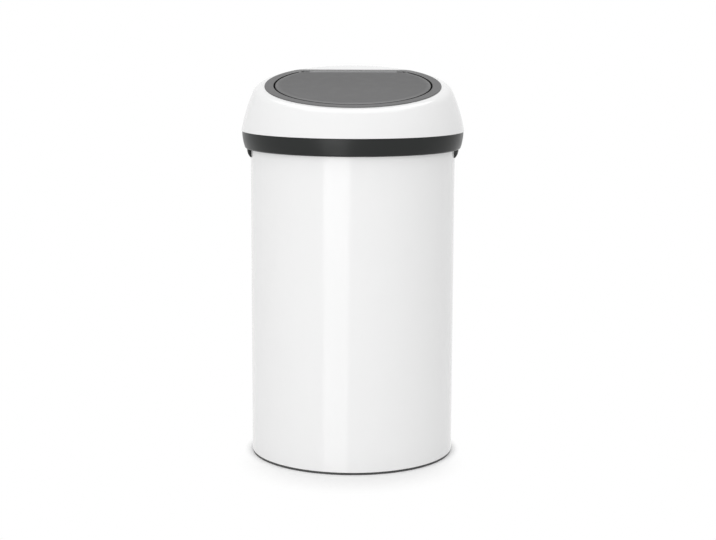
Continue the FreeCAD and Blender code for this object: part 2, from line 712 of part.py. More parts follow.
def d_prism(radius, chord, corner, low, high):
    """Prism of a circle with a straight back edge, rounded where the two meet."""
    centre_x = math.sqrt((radius - corner) ** 2 - (chord - corner) ** 2)
    centre = Vector(centre_x, chord - corner, low)
    flat = Vector(centre_x, chord, low)
    outwards = Vector(centre.x, centre.y, 0).normalize()
    meet = centre + outwards * corner
    bend = centre + (outwards + AXIS_Y).normalize() * corner
    flat_l, meet_l, bend_l = (Vector(-p.x, p.y, p.z) for p in (flat, meet, bend))
    outline = Part.Wire([
        Part.Arc(meet_l, Vector(0, -radius, low), meet).toShape(),
        Part.Arc(meet, bend, flat).toShape(),
        Part.makeLine(flat, flat_l),
        Part.Arc(flat_l, bend_l, meet_l).toShape()])
    return Part.Face(outline).extrude(AXIS_Z * (high - low))


def throat(offset, low, high):
    """Prism of the frame's opening, widened by offset."""
    return d_prism(THROAT_RADIUS + offset, THROAT_CHORD + offset, THROAT_CORNER + offset, low, high)


def frame_boss_points():
    """Places of the screws that clamp the frame, round its front and sides."""
    radius = THROAT_RADIUS + BOSS_OFFSET
    step = BOSS_ANGLE / (BOSS_COUNT - 1)
    points = []
    for place in range(BOSS_COUNT):
        angle = math.radians(-90 - BOSS_ANGLE / 2 + step * place)
        points.append((radius * math.cos(angle), radius * math.sin(angle)))
    return points


def ear_spans():
    """Spans along X of the two ears that hold the flap's pin."""
    near = BARREL_LENGTH / 2 + EAR_GAP
    return [(-near - EAR_LENGTH, -near), (near, near + EAR_LENGTH)]


def latch_screw_holes():
    """Holes from the front through the skirt and into the latch's plate."""
    holes = []
    for side in (-1, 1):
        hole = screw_hole(SKIRT_WALL + LATCH_PLATE + 2 * SEAT_GAP)
        holes.append(latch_screw_place(hole, side))
    return holes


def latch_screw_place(shape, side):
    """Set a screw shape on the skirt's outside, beside the middle of the front."""
    angle = -90 + side * math.degrees(LATCH_SCREW_SPREAD / 2 / THROAT_RADIUS)
    return inward(shape, angle, THROAT_RADIUS + SKIRT_WALL + HOLE_GAP, LATCH_SCREW_W)


def flap_frame():
    """Frame with a flange on the hood, a skirt below, screw bosses and two hinge ears."""
    flange = d_prism(THROAT_RADIUS + FRAME_WIDTH, THROAT_CHORD + BAR_WIDTH, THROAT_CORNER + FRAME_WIDTH,
                     0, FRAME_PROUD).cut(throat(0, -FRAME_PROUD, 2 * FRAME_PROUD))
    flange = flange.makeFillet(FRAME_ROUND, edges_at_level(flange, FRAME_PROUD))
    bosses = [pinned(BOSS_RADIUS, -BOSS_LENGTH, FRAME_PROUD / 2, x, y) for x, y in frame_boss_points()]
    outside = joined([flange, throat(SKIRT_WALL, -SKIRT_DEPTH, FRAME_PROUD - FRAME_ROUND)] + bosses)
    frame = outside.cut(throat(0, -2 * SKIRT_DEPTH, SKIRT_DEPTH))
    ears = []
    for start, end in ear_spans():
        ears.append(rod_x(EAR_RADIUS, start, end, HINGE_V, HINGE_W))
        ears.append(box((start, end), (HINGE_V, THROAT_CHORD + FRAME_ROUND),
                        (HINGE_W - EAR_RADIUS, FRAME_PROUD)))
    within = throat(SKIRT_WALL, -SKIRT_DEPTH, FRAME_PROUD + EAR_RADIUS)
    frame = joined([frame] + [ear.common(within) for ear in ears])
    bores = [rod_x(BUSH_RADIUS + RUNNING_GAP, start, end, HINGE_V, HINGE_W) for start, end in ear_spans()]
    holes = [pinned(SCREW_RADIUS + HOLE_GAP, -BOSS_LENGTH, -BOSS_LENGTH + SCREW_BITE, x, y)
             for x, y in frame_boss_points()]
    return on_slope(frame.cut(Part.makeCompound(bores + holes + latch_screw_holes())))


def frame_retainer():
    """Channel ring below the hood that the frame's screws draw up against the slope."""
    inner = SKIRT_WALL + SEAT_GAP
    floor = throat(RETAINER_OFFSET, RETAINER_BOTTOM, RETAINER_TOP).cut(
        throat(inner, 2 * RETAINER_BOTTOM, 0))
    wall_top = -HOOD_WALL - SEAT_GAP
    wall = throat(RETAINER_OFFSET, RETAINER_BOTTOM, wall_top).cut(
        throat(RETAINER_OFFSET - RETAINER_WALL, 2 * RETAINER_BOTTOM, 0))
    holes = [pinned(SCREW_RADIUS + HOLE_GAP, 2 * RETAINER_BOTTOM, 0, x, y) for x, y in frame_boss_points()]
    return on_slope(joined([floor, wall]).cut(Part.makeCompound(holes)))


def frame_screws():
    length = RETAINER_FLOOR + SEAT_GAP + SCREW_BITE - 2 * HOLE_GAP
    return on_slope(Part.makeCompound([
        screw_up(x, y, RETAINER_BOTTOM - HOLE_GAP, length) for x, y in frame_boss_points()]))


# Flap

def flap_screw_points():
    """Screw places in a ring on the flap's underside."""
    step = 2 * math.pi / FLAP_SCREWS
    return [(FLAP_SCREW_RADIUS * math.cos(step * place), FLAP_SCREW_RADIUS * math.sin(step * place))
            for place in range(FLAP_SCREWS)]


def spring_pocket():
    """Room for the opening spring, open below, in the middle of the flap's barrel."""
    radius = SPRING_RADIUS + SPRING_WIRE / 2 + SPRING_POCKET_GAP
    half = SPRING_TURNS * SPRING_PITCH / 2 + 2 * SPRING_WIRE
    below = box((-half, half), (HINGE_V - radius, HINGE_V + BARREL_RADIUS + BARREL_GAP),
                (FLAP_BOTTOM, HINGE_W))
    return rod_x(radius, -half, half, HINGE_V, HINGE_W).fuse(below)


def rolled_section(x, start, border):
    """Section across the flap: level from start, rolled down to its border and rounded there."""
    radius = (FLAP_ROLL ** 2 + FLAP_CROWN ** 2) / (2 * FLAP_CROWN)
    crest = FLAP_TOP + FLAP_CROWN
    level = Vector(x, border - FLAP_ROLL, crest)
    roll_centre = level - AXIS_Z * radius
    out = FLAP_ROLL - FLAP_ROUND
    round_centre = roll_centre + Vector(0, out, math.sqrt((radius - FLAP_ROUND) ** 2 - out ** 2))
    lean = (round_centre - roll_centre).normalize()
    meet = roll_centre + lean * radius
    on_roll = roll_centre + (lean + AXIS_Z).normalize() * radius
    on_round = round_centre + (lean + AXIS_Y).normalize() * FLAP_ROUND
    wall = round_centre + AXIS_Y * FLAP_ROUND
    corners = [wall, Vector(x, border, FLAP_BOTTOM), Vector(x, start, FLAP_BOTTOM),
               Vector(x, start, crest), level]
    edges = [Part.makeLine(*pair) for pair in zip(corners, corners[1:])]
    edges += [Part.Arc(level, on_roll, meet).toShape(), Part.Arc(meet, on_round, wall).toShape()]
    return Part.Face(Part.Wire(edges))


def flap_skin():
    """Outside of the flap: level in the middle and rolled down all round."""
    wide = 2 * FLAP_RADIUS
    rolled_round = rolled_section(0, 0, FLAP_RADIUS).revolve(Vector(), AXIS_Z, 360)
    rolled_back = rolled_section(-wide, -wide, FLAP_CHORD).extrude(AXIS_X * 2 * wide)
    outline = d_prism(FLAP_RADIUS + HOLE_GAP, FLAP_CHORD + HOLE_GAP, FLAP_CORNER, 2 * FLAP_BOTTOM, FLAP_DEPTH)
    return rolled_round.common(rolled_back).common(outline)


def flap_panel():
    """Flap with a rim below, screw bosses and a hinge barrel along its back edge."""
    half = BARREL_LENGTH / 2
    under = FLAP_TOP - FLAP_WALL
    ceiling = under + FLAP_CROWN
    wide = d_prism(FLAP_RADIUS - FLAP_WALL, FLAP_CHORD - FLAP_WALL, FLAP_CORNER, FLAP_BOTTOM, under)
    deep = d_prism(FLAP_RADIUS - FLAP_ROLL, FLAP_CHORD - FLAP_ROLL, FLAP_CORNER, FLAP_BOTTOM, ceiling)
    shell = flap_skin().cut(wide).cut(deep)
    sunk = FLAP_WALL / 2
    web = box((-half, half), (FLAP_CHORD - FLAP_WALL, HINGE_V), (HINGE_W - KNUCKLE_WEB / 2, under + sunk))
    bosses = [pinned(BOSS_RADIUS, FLAP_BOTTOM, ceiling + sunk, x, y) for x, y in flap_screw_points()]
    panel = joined([shell, web, rod_x(BARREL_RADIUS, -half, half, HINGE_V, HINGE_W)] + bosses)
    bore = rod_x(FLAP_PIN_RADIUS + RUNNING_GAP, -half, half, HINGE_V, HINGE_W)
    holes = [pinned(SCREW_RADIUS + HOLE_GAP, FLAP_BOTTOM, FLAP_BOTTOM + SCREW_BITE - INNER_WALL, x, y)
             for x, y in flap_screw_points()]
    return on_slope(panel.cut(bore).cut(spring_pocket()).cut(Part.makeCompound(holes)))


def flap_inner():
    """Plate that closes the flap's underside."""
    plate = d_prism(FLAP_RADIUS - INNER_SETBACK, FLAP_CHORD - INNER_SETBACK, FLAP_CORNER,
                    INNER_BOTTOM, FLAP_BOTTOM)
    plate = plate.makeFillet(INNER_ROUND, edges_at_level(plate, INNER_BOTTOM))
    plate = plate.cut(d_prism(RECESS_RADIUS, RECESS_CHORD, FLAP_CORNER,
                              INNER_BOTTOM, INNER_BOTTOM + INNER_RECESS))
    points = flap_screw_points() + striker_screw_points()
    holes = [pinned(SCREW_RADIUS + HOLE_GAP, INNER_BOTTOM, FLAP_BOTTOM, x, y) for x, y in points]
    return on_slope(plate.cut(Part.makeCompound(holes)))


def flap_screws():
    length = SCREW_BITE - INNER_RECESS - HOLE_GAP
    seat = INNER_BOTTOM + INNER_RECESS - HOLE_GAP
    return on_slope(Part.makeCompound([
        screw_up(x, y, seat, length) for x, y in flap_screw_points()]))


def flap_pin():
    far = ear_spans()[1][1]
    return on_slope(rod_x(FLAP_PIN_RADIUS, -far, far, HINGE_V, HINGE_W))


def flap_bush(span):
    start, end = span
    sleeve = rod_x(BUSH_RADIUS, start, end, HINGE_V, HINGE_W)
    return on_slope(sleeve.cut(rod_x(FLAP_PIN_RADIUS + RUNNING_GAP, start, end, HINGE_V, HINGE_W)))


def flap_bush_left():
    return flap_bush(ear_spans()[0])


def flap_bush_right():
    return flap_bush(ear_spans()[1])


# Springs

def biarc(start, leaving, end, arriving):
    """Two tangent arcs between two points with given directions."""
    chord, both = end - start, leaving + arriving
    turn = 2 * (1 - leaving.dot(arriving))
    along = chord.dot(both)
    reach = (math.sqrt(along ** 2 + turn * chord.dot(chord)) - along) / turn
    joint = (start + leaving * reach + end - arriving * reach) / 2
    return [arc_along(start, leaving, joint), arc_along(end, arriving * -1, joint)]


def arc_along(start, direction, end):
    """Arc from start, leaving in a direction, to end."""
    chord = end - start
    along = Vector(chord).normalize()
    side = direction - along * direction.dot(along)
    half_turn = math.atan2(side.Length, direction.dot(along)) / 2
    rise = chord.Length / 2 * math.tan(half_turn)
    return Part.Arc(start, (start + end) / 2 + side.normalize() * rise, end).toShape()


def helix_at(turn, origin, across, beside, radius, pitch):
    """Point and direction on a helix after some turns; across and beside span its round."""
    angle = 2 * math.pi * turn
    axis = across.cross(beside)
    out = across * math.cos(angle) + beside * math.sin(angle)
    forward = beside * math.cos(angle) - across * math.sin(angle)
    point = origin + out * radius + axis * pitch * turn
    return point, (forward * 2 * math.pi * radius + axis * pitch).normalize()


def coil_edges(first, last, *helix):
    """Edges of a helix from one turn to another, in quarter turns."""
    steps = math.ceil((last - first) * 4)
    turns = [first + (last - first) * step / steps for step in range(steps + 1)]
    places = [helix_at(turn, *helix) for turn in turns]
    edges = []
    for (start, leaving), (end, arriving) in zip(places, places[1:]):
        edges += biarc(start, leaving, end, arriving)
    return edges


def wire_along(edges, thickness):
    """Round wire along a path of edges."""
    path = Part.Wire(Part.__sortEdges__(edges))
    first = path.OrderedEdges[0]
    start = path.OrderedVertexes[0].Point
    at_start = first.Curve.parameter(start)
    section = Part.Wire(Part.makeCircle(thickness / 2, start, first.tangentAt(at_start)))
    return path.makePipeShell([section], True, False)


def print_least_gap(name, thickness, first, last, *helix):
    """Print the least gap between neighbouring turns, measured on points."""
    count = int((last - first) * 48)
    points = [helix_at(first + (last - first) * step / count, *helix)[0] for step in range(count + 1)]
    apart = count / (last - first) / 2
    gaps = [(a - b).Length for i, a in enumerate(points) for j, b in enumerate(points) if j - i > apart]
    print(name, "least gap", round(min(gaps) - thickness, 2))


def flap_spring():
    """Opening spring on the flap's pin: one leg on the frame's back bar, one under the flap."""
    to_bar = BARREL_RADIUS + BARREL_GAP - SEAT_GAP - SPRING_WIRE / 2
    lean = math.asin((to_bar - SPRING_RADIUS) / SPRING_FIXED_LEG)
    first, last = lean / (2 * math.pi), SPRING_TURNS + 0.5
    origin = Vector(-SPRING_PITCH * (SPRING_TURNS + 0.5) / 2, HINGE_V, HINGE_W)
    helix = (origin, AXIS_Y, AXIS_Z, SPRING_RADIUS, SPRING_PITCH)
    print_least_gap("flap_spring", SPRING_WIRE, first, last, *helix)
    start, leaving = helix_at(first, *helix)
    end, falling = helix_at(last, *helix)
    under = INNER_BOTTOM - SEAT_GAP - SPRING_WIRE / 2
    bend_start = end + falling * ((end.z - under - SPRING_BEND) / -falling.z)
    forward = AXIS_Y * -1
    bend_end = Vector(bend_start.x, bend_start.y - SPRING_BEND, under)
    edges = [Part.makeLine(start - leaving * SPRING_FIXED_LEG, start)]
    edges += coil_edges(first, last, *helix)
    edges.append(Part.makeLine(end, bend_start))
    edges += biarc(bend_start, falling, bend_end, forward)
    edges.append(Part.makeLine(bend_end, bend_end + forward * SPRING_FREE_LEG))
    return on_slope(wire_along(edges, SPRING_WIRE))


def latch_spring():
    """Coil between the latch's floor and the top of the slider's bore."""
    low = HOUSING_INSIDE + COIL_WIRE / 2 + SEAT_GAP
    high = SLIDER_TOP - SLIDER_CROWN - COIL_WIRE / 2 - SEAT_GAP
    helix = (Vector(0, LATCH_V, low), AXIS_X, AXIS_Y, COIL_RADIUS, (high - low) / COIL_TURNS)
    print_least_gap("latch_spring", COIL_WIRE, 0, COIL_TURNS, *helix)
    return on_slope(wire_along(coil_edges(0, COIL_TURNS, *helix), COIL_WIRE))


# Touch latch

def centred(width, depth, low, high, back=0):
    """Box on the latch's axis, made longer at its back."""
    return box((-width / 2, width / 2), (LATCH_V - depth / 2, LATCH_V + depth / 2 + back), (low, high))


def striker_screw_points():
    half = STRIKER_SCREW_SPREAD / 2
    return [(-half, LATCH_V), (half, LATCH_V)]


def latch_striker():
    """Tongue with an arrow head on a plate below the flap."""
    plate_low = INNER_BOTTOM - STRIKER_PLATE
    head_top = TONGUE_TIP + TONGUE_HEAD_HEIGHT
    half_head, half_neck = TONGUE_HEAD / 2, TONGUE_WALL / 2
    outline = [
        Vector(0, LATCH_V - half_neck, INNER_BOTTOM), Vector(0, LATCH_V - half_neck, head_top),
        Vector(0, LATCH_V - half_head, head_top), Vector(0, LATCH_V - half_neck / 2, TONGUE_TIP),
        Vector(0, LATCH_V + half_neck / 2, TONGUE_TIP), Vector(0, LATCH_V + half_head, head_top),
        Vector(0, LATCH_V + half_neck, head_top), Vector(0, LATCH_V + half_neck, INNER_BOTTOM)]
    tongue = face_of(outline).extrude(AXIS_X * TONGUE_WIDTH)
    tongue.translate(AXIS_X * (-TONGUE_WIDTH / 2))
    plate = centred(STRIKER_WIDTH, STRIKER_DEPTH, plate_low, INNER_BOTTOM)
    holes = [pinned(SCREW_RADIUS + HOLE_GAP, plate_low, INNER_BOTTOM, x, y)
             for x, y in striker_screw_points()]
    return on_slope(joined([plate, tongue]).cut(Part.makeCompound(holes)))


def striker_screws():
    length = STRIKER_PLATE + INNER_WALL
    return on_slope(Part.makeCompound([
        screw_up(x, y, INNER_BOTTOM - STRIKER_PLATE - HOLE_GAP, length) for x, y in striker_screw_points()]))


def latch_slider():
    """Sprung slider whose two jaws stand either side of the tongue's head."""
    body = centred(SLIDER_WIDTH, SLIDER_DEPTH, SLIDER_BOTTOM, SLIDER_TOP)
    clear = TONGUE_HEAD / 2 + JAW_GAP
    jaws = centred(TONGUE_WIDTH, 2 * (clear + JAW_WALL), SLIDER_TOP, SLIDER_TOP + JAW_HEIGHT).cut(
        centred(TONGUE_WIDTH, 2 * clear, SLIDER_TOP, SLIDER_TOP + JAW_HEIGHT))
    bore = pinned(SLIDER_BORE_RADIUS, SLIDER_BOTTOM, SLIDER_TOP - SLIDER_CROWN, 0, LATCH_V)
    return on_slope(joined([body, jaws]).cut(bore))


def latch_housing():
    """Guide box with room for the slider's arc, hung from a plate on the frame's skirt."""
    wall = 2 * (HOUSING_WALL + SEAT_GAP)
    case = centred(SLIDER_WIDTH + wall, SLIDER_DEPTH + wall, HOUSING_BOTTOM, HOUSING_TOP, SLIDER_SWAY)
    half = LATCH_PLATE_WIDTH / 2
    front = box((-half, half), (-THROAT_RADIUS, LATCH_V - SLIDER_DEPTH / 2 - SEAT_GAP),
                (LATCH_PLATE_BOTTOM, LATCH_PLATE_TOP))
    plate = front.common(throat(-SEAT_GAP, LATCH_PLATE_BOTTOM, LATCH_PLATE_TOP)).cut(
        throat(-SEAT_GAP - LATCH_PLATE, LATCH_PLATE_BOTTOM, LATCH_PLATE_TOP))
    neck = box((-SLIDER_WIDTH / 2, SLIDER_WIDTH / 2), (-THROAT_RADIUS, LATCH_V - SLIDER_DEPTH / 2 - SEAT_GAP),
               (LATCH_PLATE_BOTTOM, HOUSING_TOP)).common(throat(-SEAT_GAP, HOUSING_BOTTOM, HOUSING_TOP))
    room = centred(SLIDER_WIDTH + 2 * SEAT_GAP, SLIDER_DEPTH + 2 * SEAT_GAP, HOUSING_INSIDE, HOUSING_TOP,
                   SLIDER_SWAY)
    housing = joined([case, plate, neck]).cut(room)
    return on_slope(housing.cut(Part.makeCompound(latch_screw_holes())))


def latch_screws():
    length = SKIRT_WALL + LATCH_PLATE
    return on_slope(Part.makeCompound([latch_screw_place(screw(length), side) for side in (-1, 1)]))


NODES = (
    drum, floor_plate, base_ring, rim_ring, rim_rivets, carry_grip_left, carry_grip_right, grip_rivets,
    hinge_bracket, bracket_screws, hood_hinge_pin, hinge_leaf, leaf_screws, hood_shell, hood_carrier,
    hood_buffers, flap_frame, frame_retainer, frame_screws, flap_panel, flap_inner, flap_screws, flap_pin,
    flap_bush_left, flap_bush_right, flap_spring, latch_housing, latch_screws, latch_slider, latch_spring,
    latch_striker, striker_screws)


def main():
    os.makedirs("parts", exist_ok=True)
    for node in NODES:
        shape = node()
        if not shape.isValid():
            print(node.__name__, "is not valid")
        shape.exportStep("parts/" + node.__name__ + ".step")


main()
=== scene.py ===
"""Dresses the packed touch-top waste bin: finishes, wire springs, fasteners and a plain studio.

Metres, +Z up, the low front of the hood faces -Y. The packed model is the fixed frame.
"""

import json
import math

import bmesh
import bpy
from mathutils import Matrix, Vector

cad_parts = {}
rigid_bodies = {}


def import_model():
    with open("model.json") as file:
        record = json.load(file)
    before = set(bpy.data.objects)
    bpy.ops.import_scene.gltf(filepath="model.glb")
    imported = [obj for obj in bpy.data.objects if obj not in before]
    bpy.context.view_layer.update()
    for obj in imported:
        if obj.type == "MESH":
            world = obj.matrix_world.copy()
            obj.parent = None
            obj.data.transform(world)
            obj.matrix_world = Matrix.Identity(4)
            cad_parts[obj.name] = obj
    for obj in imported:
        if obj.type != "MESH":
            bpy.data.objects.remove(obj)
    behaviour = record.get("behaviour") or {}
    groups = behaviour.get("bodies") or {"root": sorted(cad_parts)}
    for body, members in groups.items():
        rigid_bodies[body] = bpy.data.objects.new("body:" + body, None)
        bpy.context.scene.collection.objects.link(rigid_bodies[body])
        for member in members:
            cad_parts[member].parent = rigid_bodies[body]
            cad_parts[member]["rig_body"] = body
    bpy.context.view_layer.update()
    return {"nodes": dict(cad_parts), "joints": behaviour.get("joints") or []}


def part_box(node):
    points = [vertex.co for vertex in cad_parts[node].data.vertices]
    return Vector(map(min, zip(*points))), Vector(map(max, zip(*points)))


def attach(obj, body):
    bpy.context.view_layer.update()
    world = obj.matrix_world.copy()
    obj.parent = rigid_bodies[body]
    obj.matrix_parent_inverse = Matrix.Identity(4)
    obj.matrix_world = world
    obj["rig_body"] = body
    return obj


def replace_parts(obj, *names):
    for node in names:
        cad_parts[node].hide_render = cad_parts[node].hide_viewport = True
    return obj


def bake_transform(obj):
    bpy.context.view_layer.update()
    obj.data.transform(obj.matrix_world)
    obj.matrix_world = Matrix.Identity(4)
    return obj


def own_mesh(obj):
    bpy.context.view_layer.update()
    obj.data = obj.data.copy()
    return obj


bl_info = {
    "name": "Touch-top waste bin",
    "version": (1, 0, 0),
    "blender": (4, 5, 0),
    "location": "View3D > Sidebar > Bin",
    "description": "Finishes, springs, fasteners and studio for a touch-top waste bin",
    "category": "Object",
}

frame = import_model()
MM = 0.001
FULL_TURN = 2 * math.pi
ACROSS = Vector((1, 0, 0))
UP = Vector((0, 0, 1))

# The slope that the flap's frame lies on, and the flap in it
JOINTS = {joint["name"]: joint for joint in frame["joints"]}
SLOPE_ANGLE = math.radians(11)
SLOPE_UP = Vector((0, -math.sin(SLOPE_ANGLE), math.cos(SLOPE_ANGLE)))
SLOPE_BACK = SLOPE_UP.cross(ACROSS)
FLAP_AXIS = Vector(JOINTS["flap_swing"]["pos_m"])
FLAP_AXIS_DEPTH = 1.5 * MM
SLOPE_LEVEL = FLAP_AXIS.dot(SLOPE_UP) + FLAP_AXIS_DEPTH
SLOPE_MIDDLE = UP * (SLOPE_LEVEL / SLOPE_UP.z)
FLAP_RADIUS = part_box("flap_panel")[1].x
FLAP_BACK = 5.5 * MM


# Sizes and colours that a user would change

def colour(label, text, value):
    """Setting for a colour."""
    return bpy.props.FloatVectorProperty(
        name=label, description=text, default=value, subtype="COLOR", size=3, min=0, max=1)


def number(label, text, value, low=0, **kind):
    """Setting for a number that isn't below low; kind is its unit and subtype."""
    return bpy.props.FloatProperty(name=label, description=text, default=value, min=low, **kind)


def length(label, text, value):
    """Setting for a length in metres."""
    return number(label, text, value, unit="LENGTH", subtype="DISTANCE")


def amount(label, text, value):
    """Setting for a share."""
    return number(label, text, value, subtype="FACTOR")


def power(label, text, watts):
    """Setting for the power of a lamp."""
    return number(label, text, watts, subtype="POWER")


def angle(label, text, degrees):
    """Setting for an angle of either hand."""
    return number(label, text, math.radians(degrees), low=-math.pi, subtype="ANGLE")


class BinFinishes(bpy.types.PropertyGroup):
    """Colours of the bin's finishes."""
    paint: colour("Paint", "White coat on the drum and hood", (0.84, 0.84, 0.84))
    lining: colour("Lining", "Grey coat on the inside of the drum", (0.52, 0.525, 0.53))
    rim: colour("Rim", "Dark plastic of the rim, grips and hood hinge", (0.026, 0.0275, 0.027))
    base: colour("Base", "Black plastic of the base ring", (0.065, 0.065, 0.065))
    flap_frame: colour("Frame", "Grey plastic of the frame round the flap", (0.145, 0.145, 0.146))
    flap: colour("Flap", "Grey plastic of the touch flap", (0.109, 0.109, 0.11))
    inner: colour("Inner", "Dark plastic inside the hood and below the flap", (0.03, 0.03, 0.031))
    slider: colour("Slider", "Pale plastic of the latch slider", (0.7, 0.7, 0.67))
    zinc: colour("Zinc", "Plated steel of screws, rivets, pins and springs", (0.62, 0.62, 0.61))
    rubber: colour("Rubber", "Rubber of the hood's buffers", (0.025, 0.025, 0.025))
    paint_roughness: amount("Paint roughness", "Roughness of the white coat", 0.09)
    flap_roughness: amount("Flap roughness", "Roughness of the flap and its frame", 0.42)
    plastic_roughness: amount("Plastic roughness", "Roughness of the inner plastics", 0.45)
    rim_roughness: amount("Rim roughness", "Roughness of the rim's dark plastic", 0.3)


class BinDetails(bpy.types.PropertyGroup):
    """Sizes of the pieces that are modelled here."""
    opening_wire: length("Opening wire", "Wire of the flap's opening spring", 1.2 * MM)
    opening_radius: length("Opening radius", "Radius of the opening spring's turns", 3.0 * MM)
    opening_pitch: length("Opening pitch", "Distance between the opening spring's turns", 1.8 * MM)
    opening_turns: number("Opening turns", "Turns of the opening spring", 8.5, low=1)
    fixed_leg: length("Fixed leg", "Straight leg against the frame's back bar", 14.0 * MM)
    free_leg: length("Free leg", "Straight leg below the flap", 22.0 * MM)
    leg_drop: length("Leg drop", "Depth of the free leg below the hinge's axis", 8.6 * MM)
    leg_bend: length("Leg bend", "Radius of the free leg's bend", 3.0 * MM)
    latch_wire: length("Latch wire", "Wire of the latch's coil", 1.2 * MM)
    latch_radius: length("Latch radius", "Radius of the latch coil's turns", 4.0 * MM)
    latch_length: length("Latch length", "Length of the latch coil between its end turns", 17.2 * MM)
    latch_turns: number("Latch turns", "Turns of the latch's coil", 6, low=1)
    flap_drop: length("Flap drop", "How far the flap's cover sinks into its frame", 0.8 * MM)
    seam_width: length("Seam width", "Width of the weld bead down the back of the drum", 2.4 * MM)
    seam_rise: length("Seam rise", "Height of the weld bead above the sheet", 0.3 * MM)


class BinStudio(bpy.types.PropertyGroup):
    """Camera and light."""
    camera_place: bpy.props.FloatVectorProperty(
        name="Camera place", description="Where the camera stands", default=(0.0097, -2.7622, 0.7624),
        subtype="TRANSLATION", unit="LENGTH")
    camera_pitch: angle("Camera pitch", "How far the camera looks down", 9.163)
    camera_roll: angle("Camera roll", "How far the picture is turned clockwise", 0.218)
    camera_lens: number("Lens", "Focal length in millimetres on a 36 mm sensor", 81.156, low=1)
    fill: amount("Fill", "Brightness of the room around the bin", 0.73)
    band_power: power("Band", "Power of the tall softbox that shines in the paint", 92)
    front_power: power("Front", "Power of the softbox beside the camera", 18.6)
    top_power: power("Top", "Power of the softbox above the bin", 12.5)
    crest_power: power("Crest", "Power of the softbox that shines on rounded edges", 66)
    floor: colour("Floor", "Pale studio floor", (0.95, 0.95, 0.95))
    floor_glow: amount("Floor glow", "Share of the floor by the bin that shows as plain white", 0.1)


# Finishes

# Sockets of a Mix node that mixes colours
MIX_FACTOR = 0
MIX_FIRST = 6
MIX_SECOND = 7
MIX_RESULT = 2

# Where the coat on the shell changes: radius of the drum's sheet, foot of the hood, dusty foot of the drum
SHEET_RADIUS = (173.85 * MM, 174.25 * MM)
HOOD_FOOT = (557 * MM, 558.5 * MM)
DRUM_FOOT = (4 * MM, 50 * MM)

# Where the finish of the flap and its frame changes, and where shade is painted into the gap and
# highlights are painted on:
# depths are below the slope, reaches are from the slope's middle, and runs are up the slope from the hinge
FLAP_END_RUN = (-FLAP_BACK, 1 * MM - FLAP_BACK)
FRAME_EDGE_REACH = (FLAP_RADIUS + 3.2 * MM, FLAP_RADIUS + 4.2 * MM)
FRAME_EDGE_DEPTH = (-1.49 * MM, -1.25 * MM)
FRAME_WALL_DEPTH = (-0.2 * MM, 1.2 * MM)
FLAP_EDGE_REACH = (FLAP_RADIUS - 1.4 * MM, FLAP_RADIUS - 0.85 * MM)
FLAP_WALL_DEPTH = (0.2 * MM, 1.6 * MM)
BACK_BAR_RUN = (-25 * MM, 6 * MM)
FLAP_FRONT_RUN = (-200 * MM, -40 * MM)
FLAP_BORDER_DEPTH = (-2.95 * MM, -1.4 * MM)
BARREL_FRONT_RUN = (-3.6 * MM, -2.4 * MM)

# How far these places get a clear coat and a painted highlight, a paler colour
BACK_BAR_RUB_AND_HIGHLIGHT = 0.12
FLAP_FRONT_RUB_AND_HIGHLIGHT = 0.035
FLAP_BORDER_RUB_AND_HIGHLIGHT = 0.12
BARREL_RUB_AND_HIGHLIGHT = 0.25
BARREL_FRONT_RUB_AND_HIGHLIGHT = 0.65

# Shades of moulded plastic, as shares of its colour; the paler one is a painted highlight and the darkest
# a painted shade in gaps
DRIFT_SHADES = (0.97, 1.03)
GRAIN_SHADE = 0.82
PAINTED_HIGHLIGHT_SHADE = 2.6
PAINTED_GAP_SHADE = 0.08


class Wire:
    """A shader socket. Sums on it add Math nodes, and add makes any other node."""

    def __init__(self, tree, socket=None):
        self.tree = tree
        self.socket = socket

    def add(self, kind, settings, inputs, output=0):
        """Make a node: settings first, then the values or links of its sockets."""
        node = self.tree.nodes.new(kind)
        for name, value in settings.items():
            setattr(node, name, value)
        for name, value in inputs.items():
            if isinstance(value, Wire):
                self.tree.links.new(value.socket, node.inputs[name])
            else:
                node.inputs[name].default_value = value
        return Wire(self.tree, node.outputs[output] if len(node.outputs) else None)

    def sum(self, operation, first, second):
        """Make a Math node."""
        return self.add("ShaderNodeMath", {"operation": operation}, {0: first, 1: second})

    def __add__(self, other):
        return self.sum("ADD", self, other)

    def __sub__(self, other):
        return self.sum("SUBTRACT", self, other)

    def __rsub__(self, other):
        return self.sum("SUBTRACT", other, self)

    def __mul__(self, other):
        return self.sum("MULTIPLY", self, other)

    __radd__ = __add__
    __rmul__ = __mul__


def rgba(value, shade=1.0):
    """Colour with its alpha, darker or paler by shade."""
    return (value[0] * shade, value[1] * shade, value[2] * shade, 1)


def mixed(mask, first, second):
    """Colour that runs from first to second as the mask goes from 0 to 1."""
    return mask.add("ShaderNodeMix", {"data_type": "RGBA"},
                    {MIX_FACTOR: mask, MIX_FIRST: first, MIX_SECOND: second}, MIX_RESULT)


def noise(place, scale, detail=2.0):
    """Cloudy value about a half."""
    return place.add("ShaderNodeTexNoise", {}, {"Vector": place, "Scale": scale, "Detail": detail})


def ramp(value, low, high):
    """Value from 0 at low to 1 at high."""
    return value.add("ShaderNodeMapRange", {"interpolation_type": "SMOOTHSTEP"},
                     {"Value": value, "From Min": low, "From Max": high})


def either(first, second):
    """Mask of what is in one mask or the other."""
    return first + second - first * second


def bump(height, strength, depth):
    """Normal of a surface with fine relief."""
    return height.add("ShaderNodeBump", {}, {"Height": height, "Strength": strength, "Distance": depth})


def vector_sum(operation, first, second, output="Vector"):
    """Make a Vector Math node with two inputs."""
    return first.add("ShaderNodeVectorMath", {"operation": operation}, {0: first, 1: second}, output)


def span_of(vector):
    """Length of a vector."""
    return vector.add("ShaderNodeVectorMath", {"operation": "LENGTH"}, {0: vector}, "Value")


def new_finish(name):
    """Empty material and a wire that reads the piece's own coordinates."""
    material = bpy.data.materials.new(name)
    material.use_nodes = True
    material.node_tree.nodes.clear()
    start = Wire(material.node_tree)
    return material, start.add("ShaderNodeTexCoord", {}, {}, "Object")


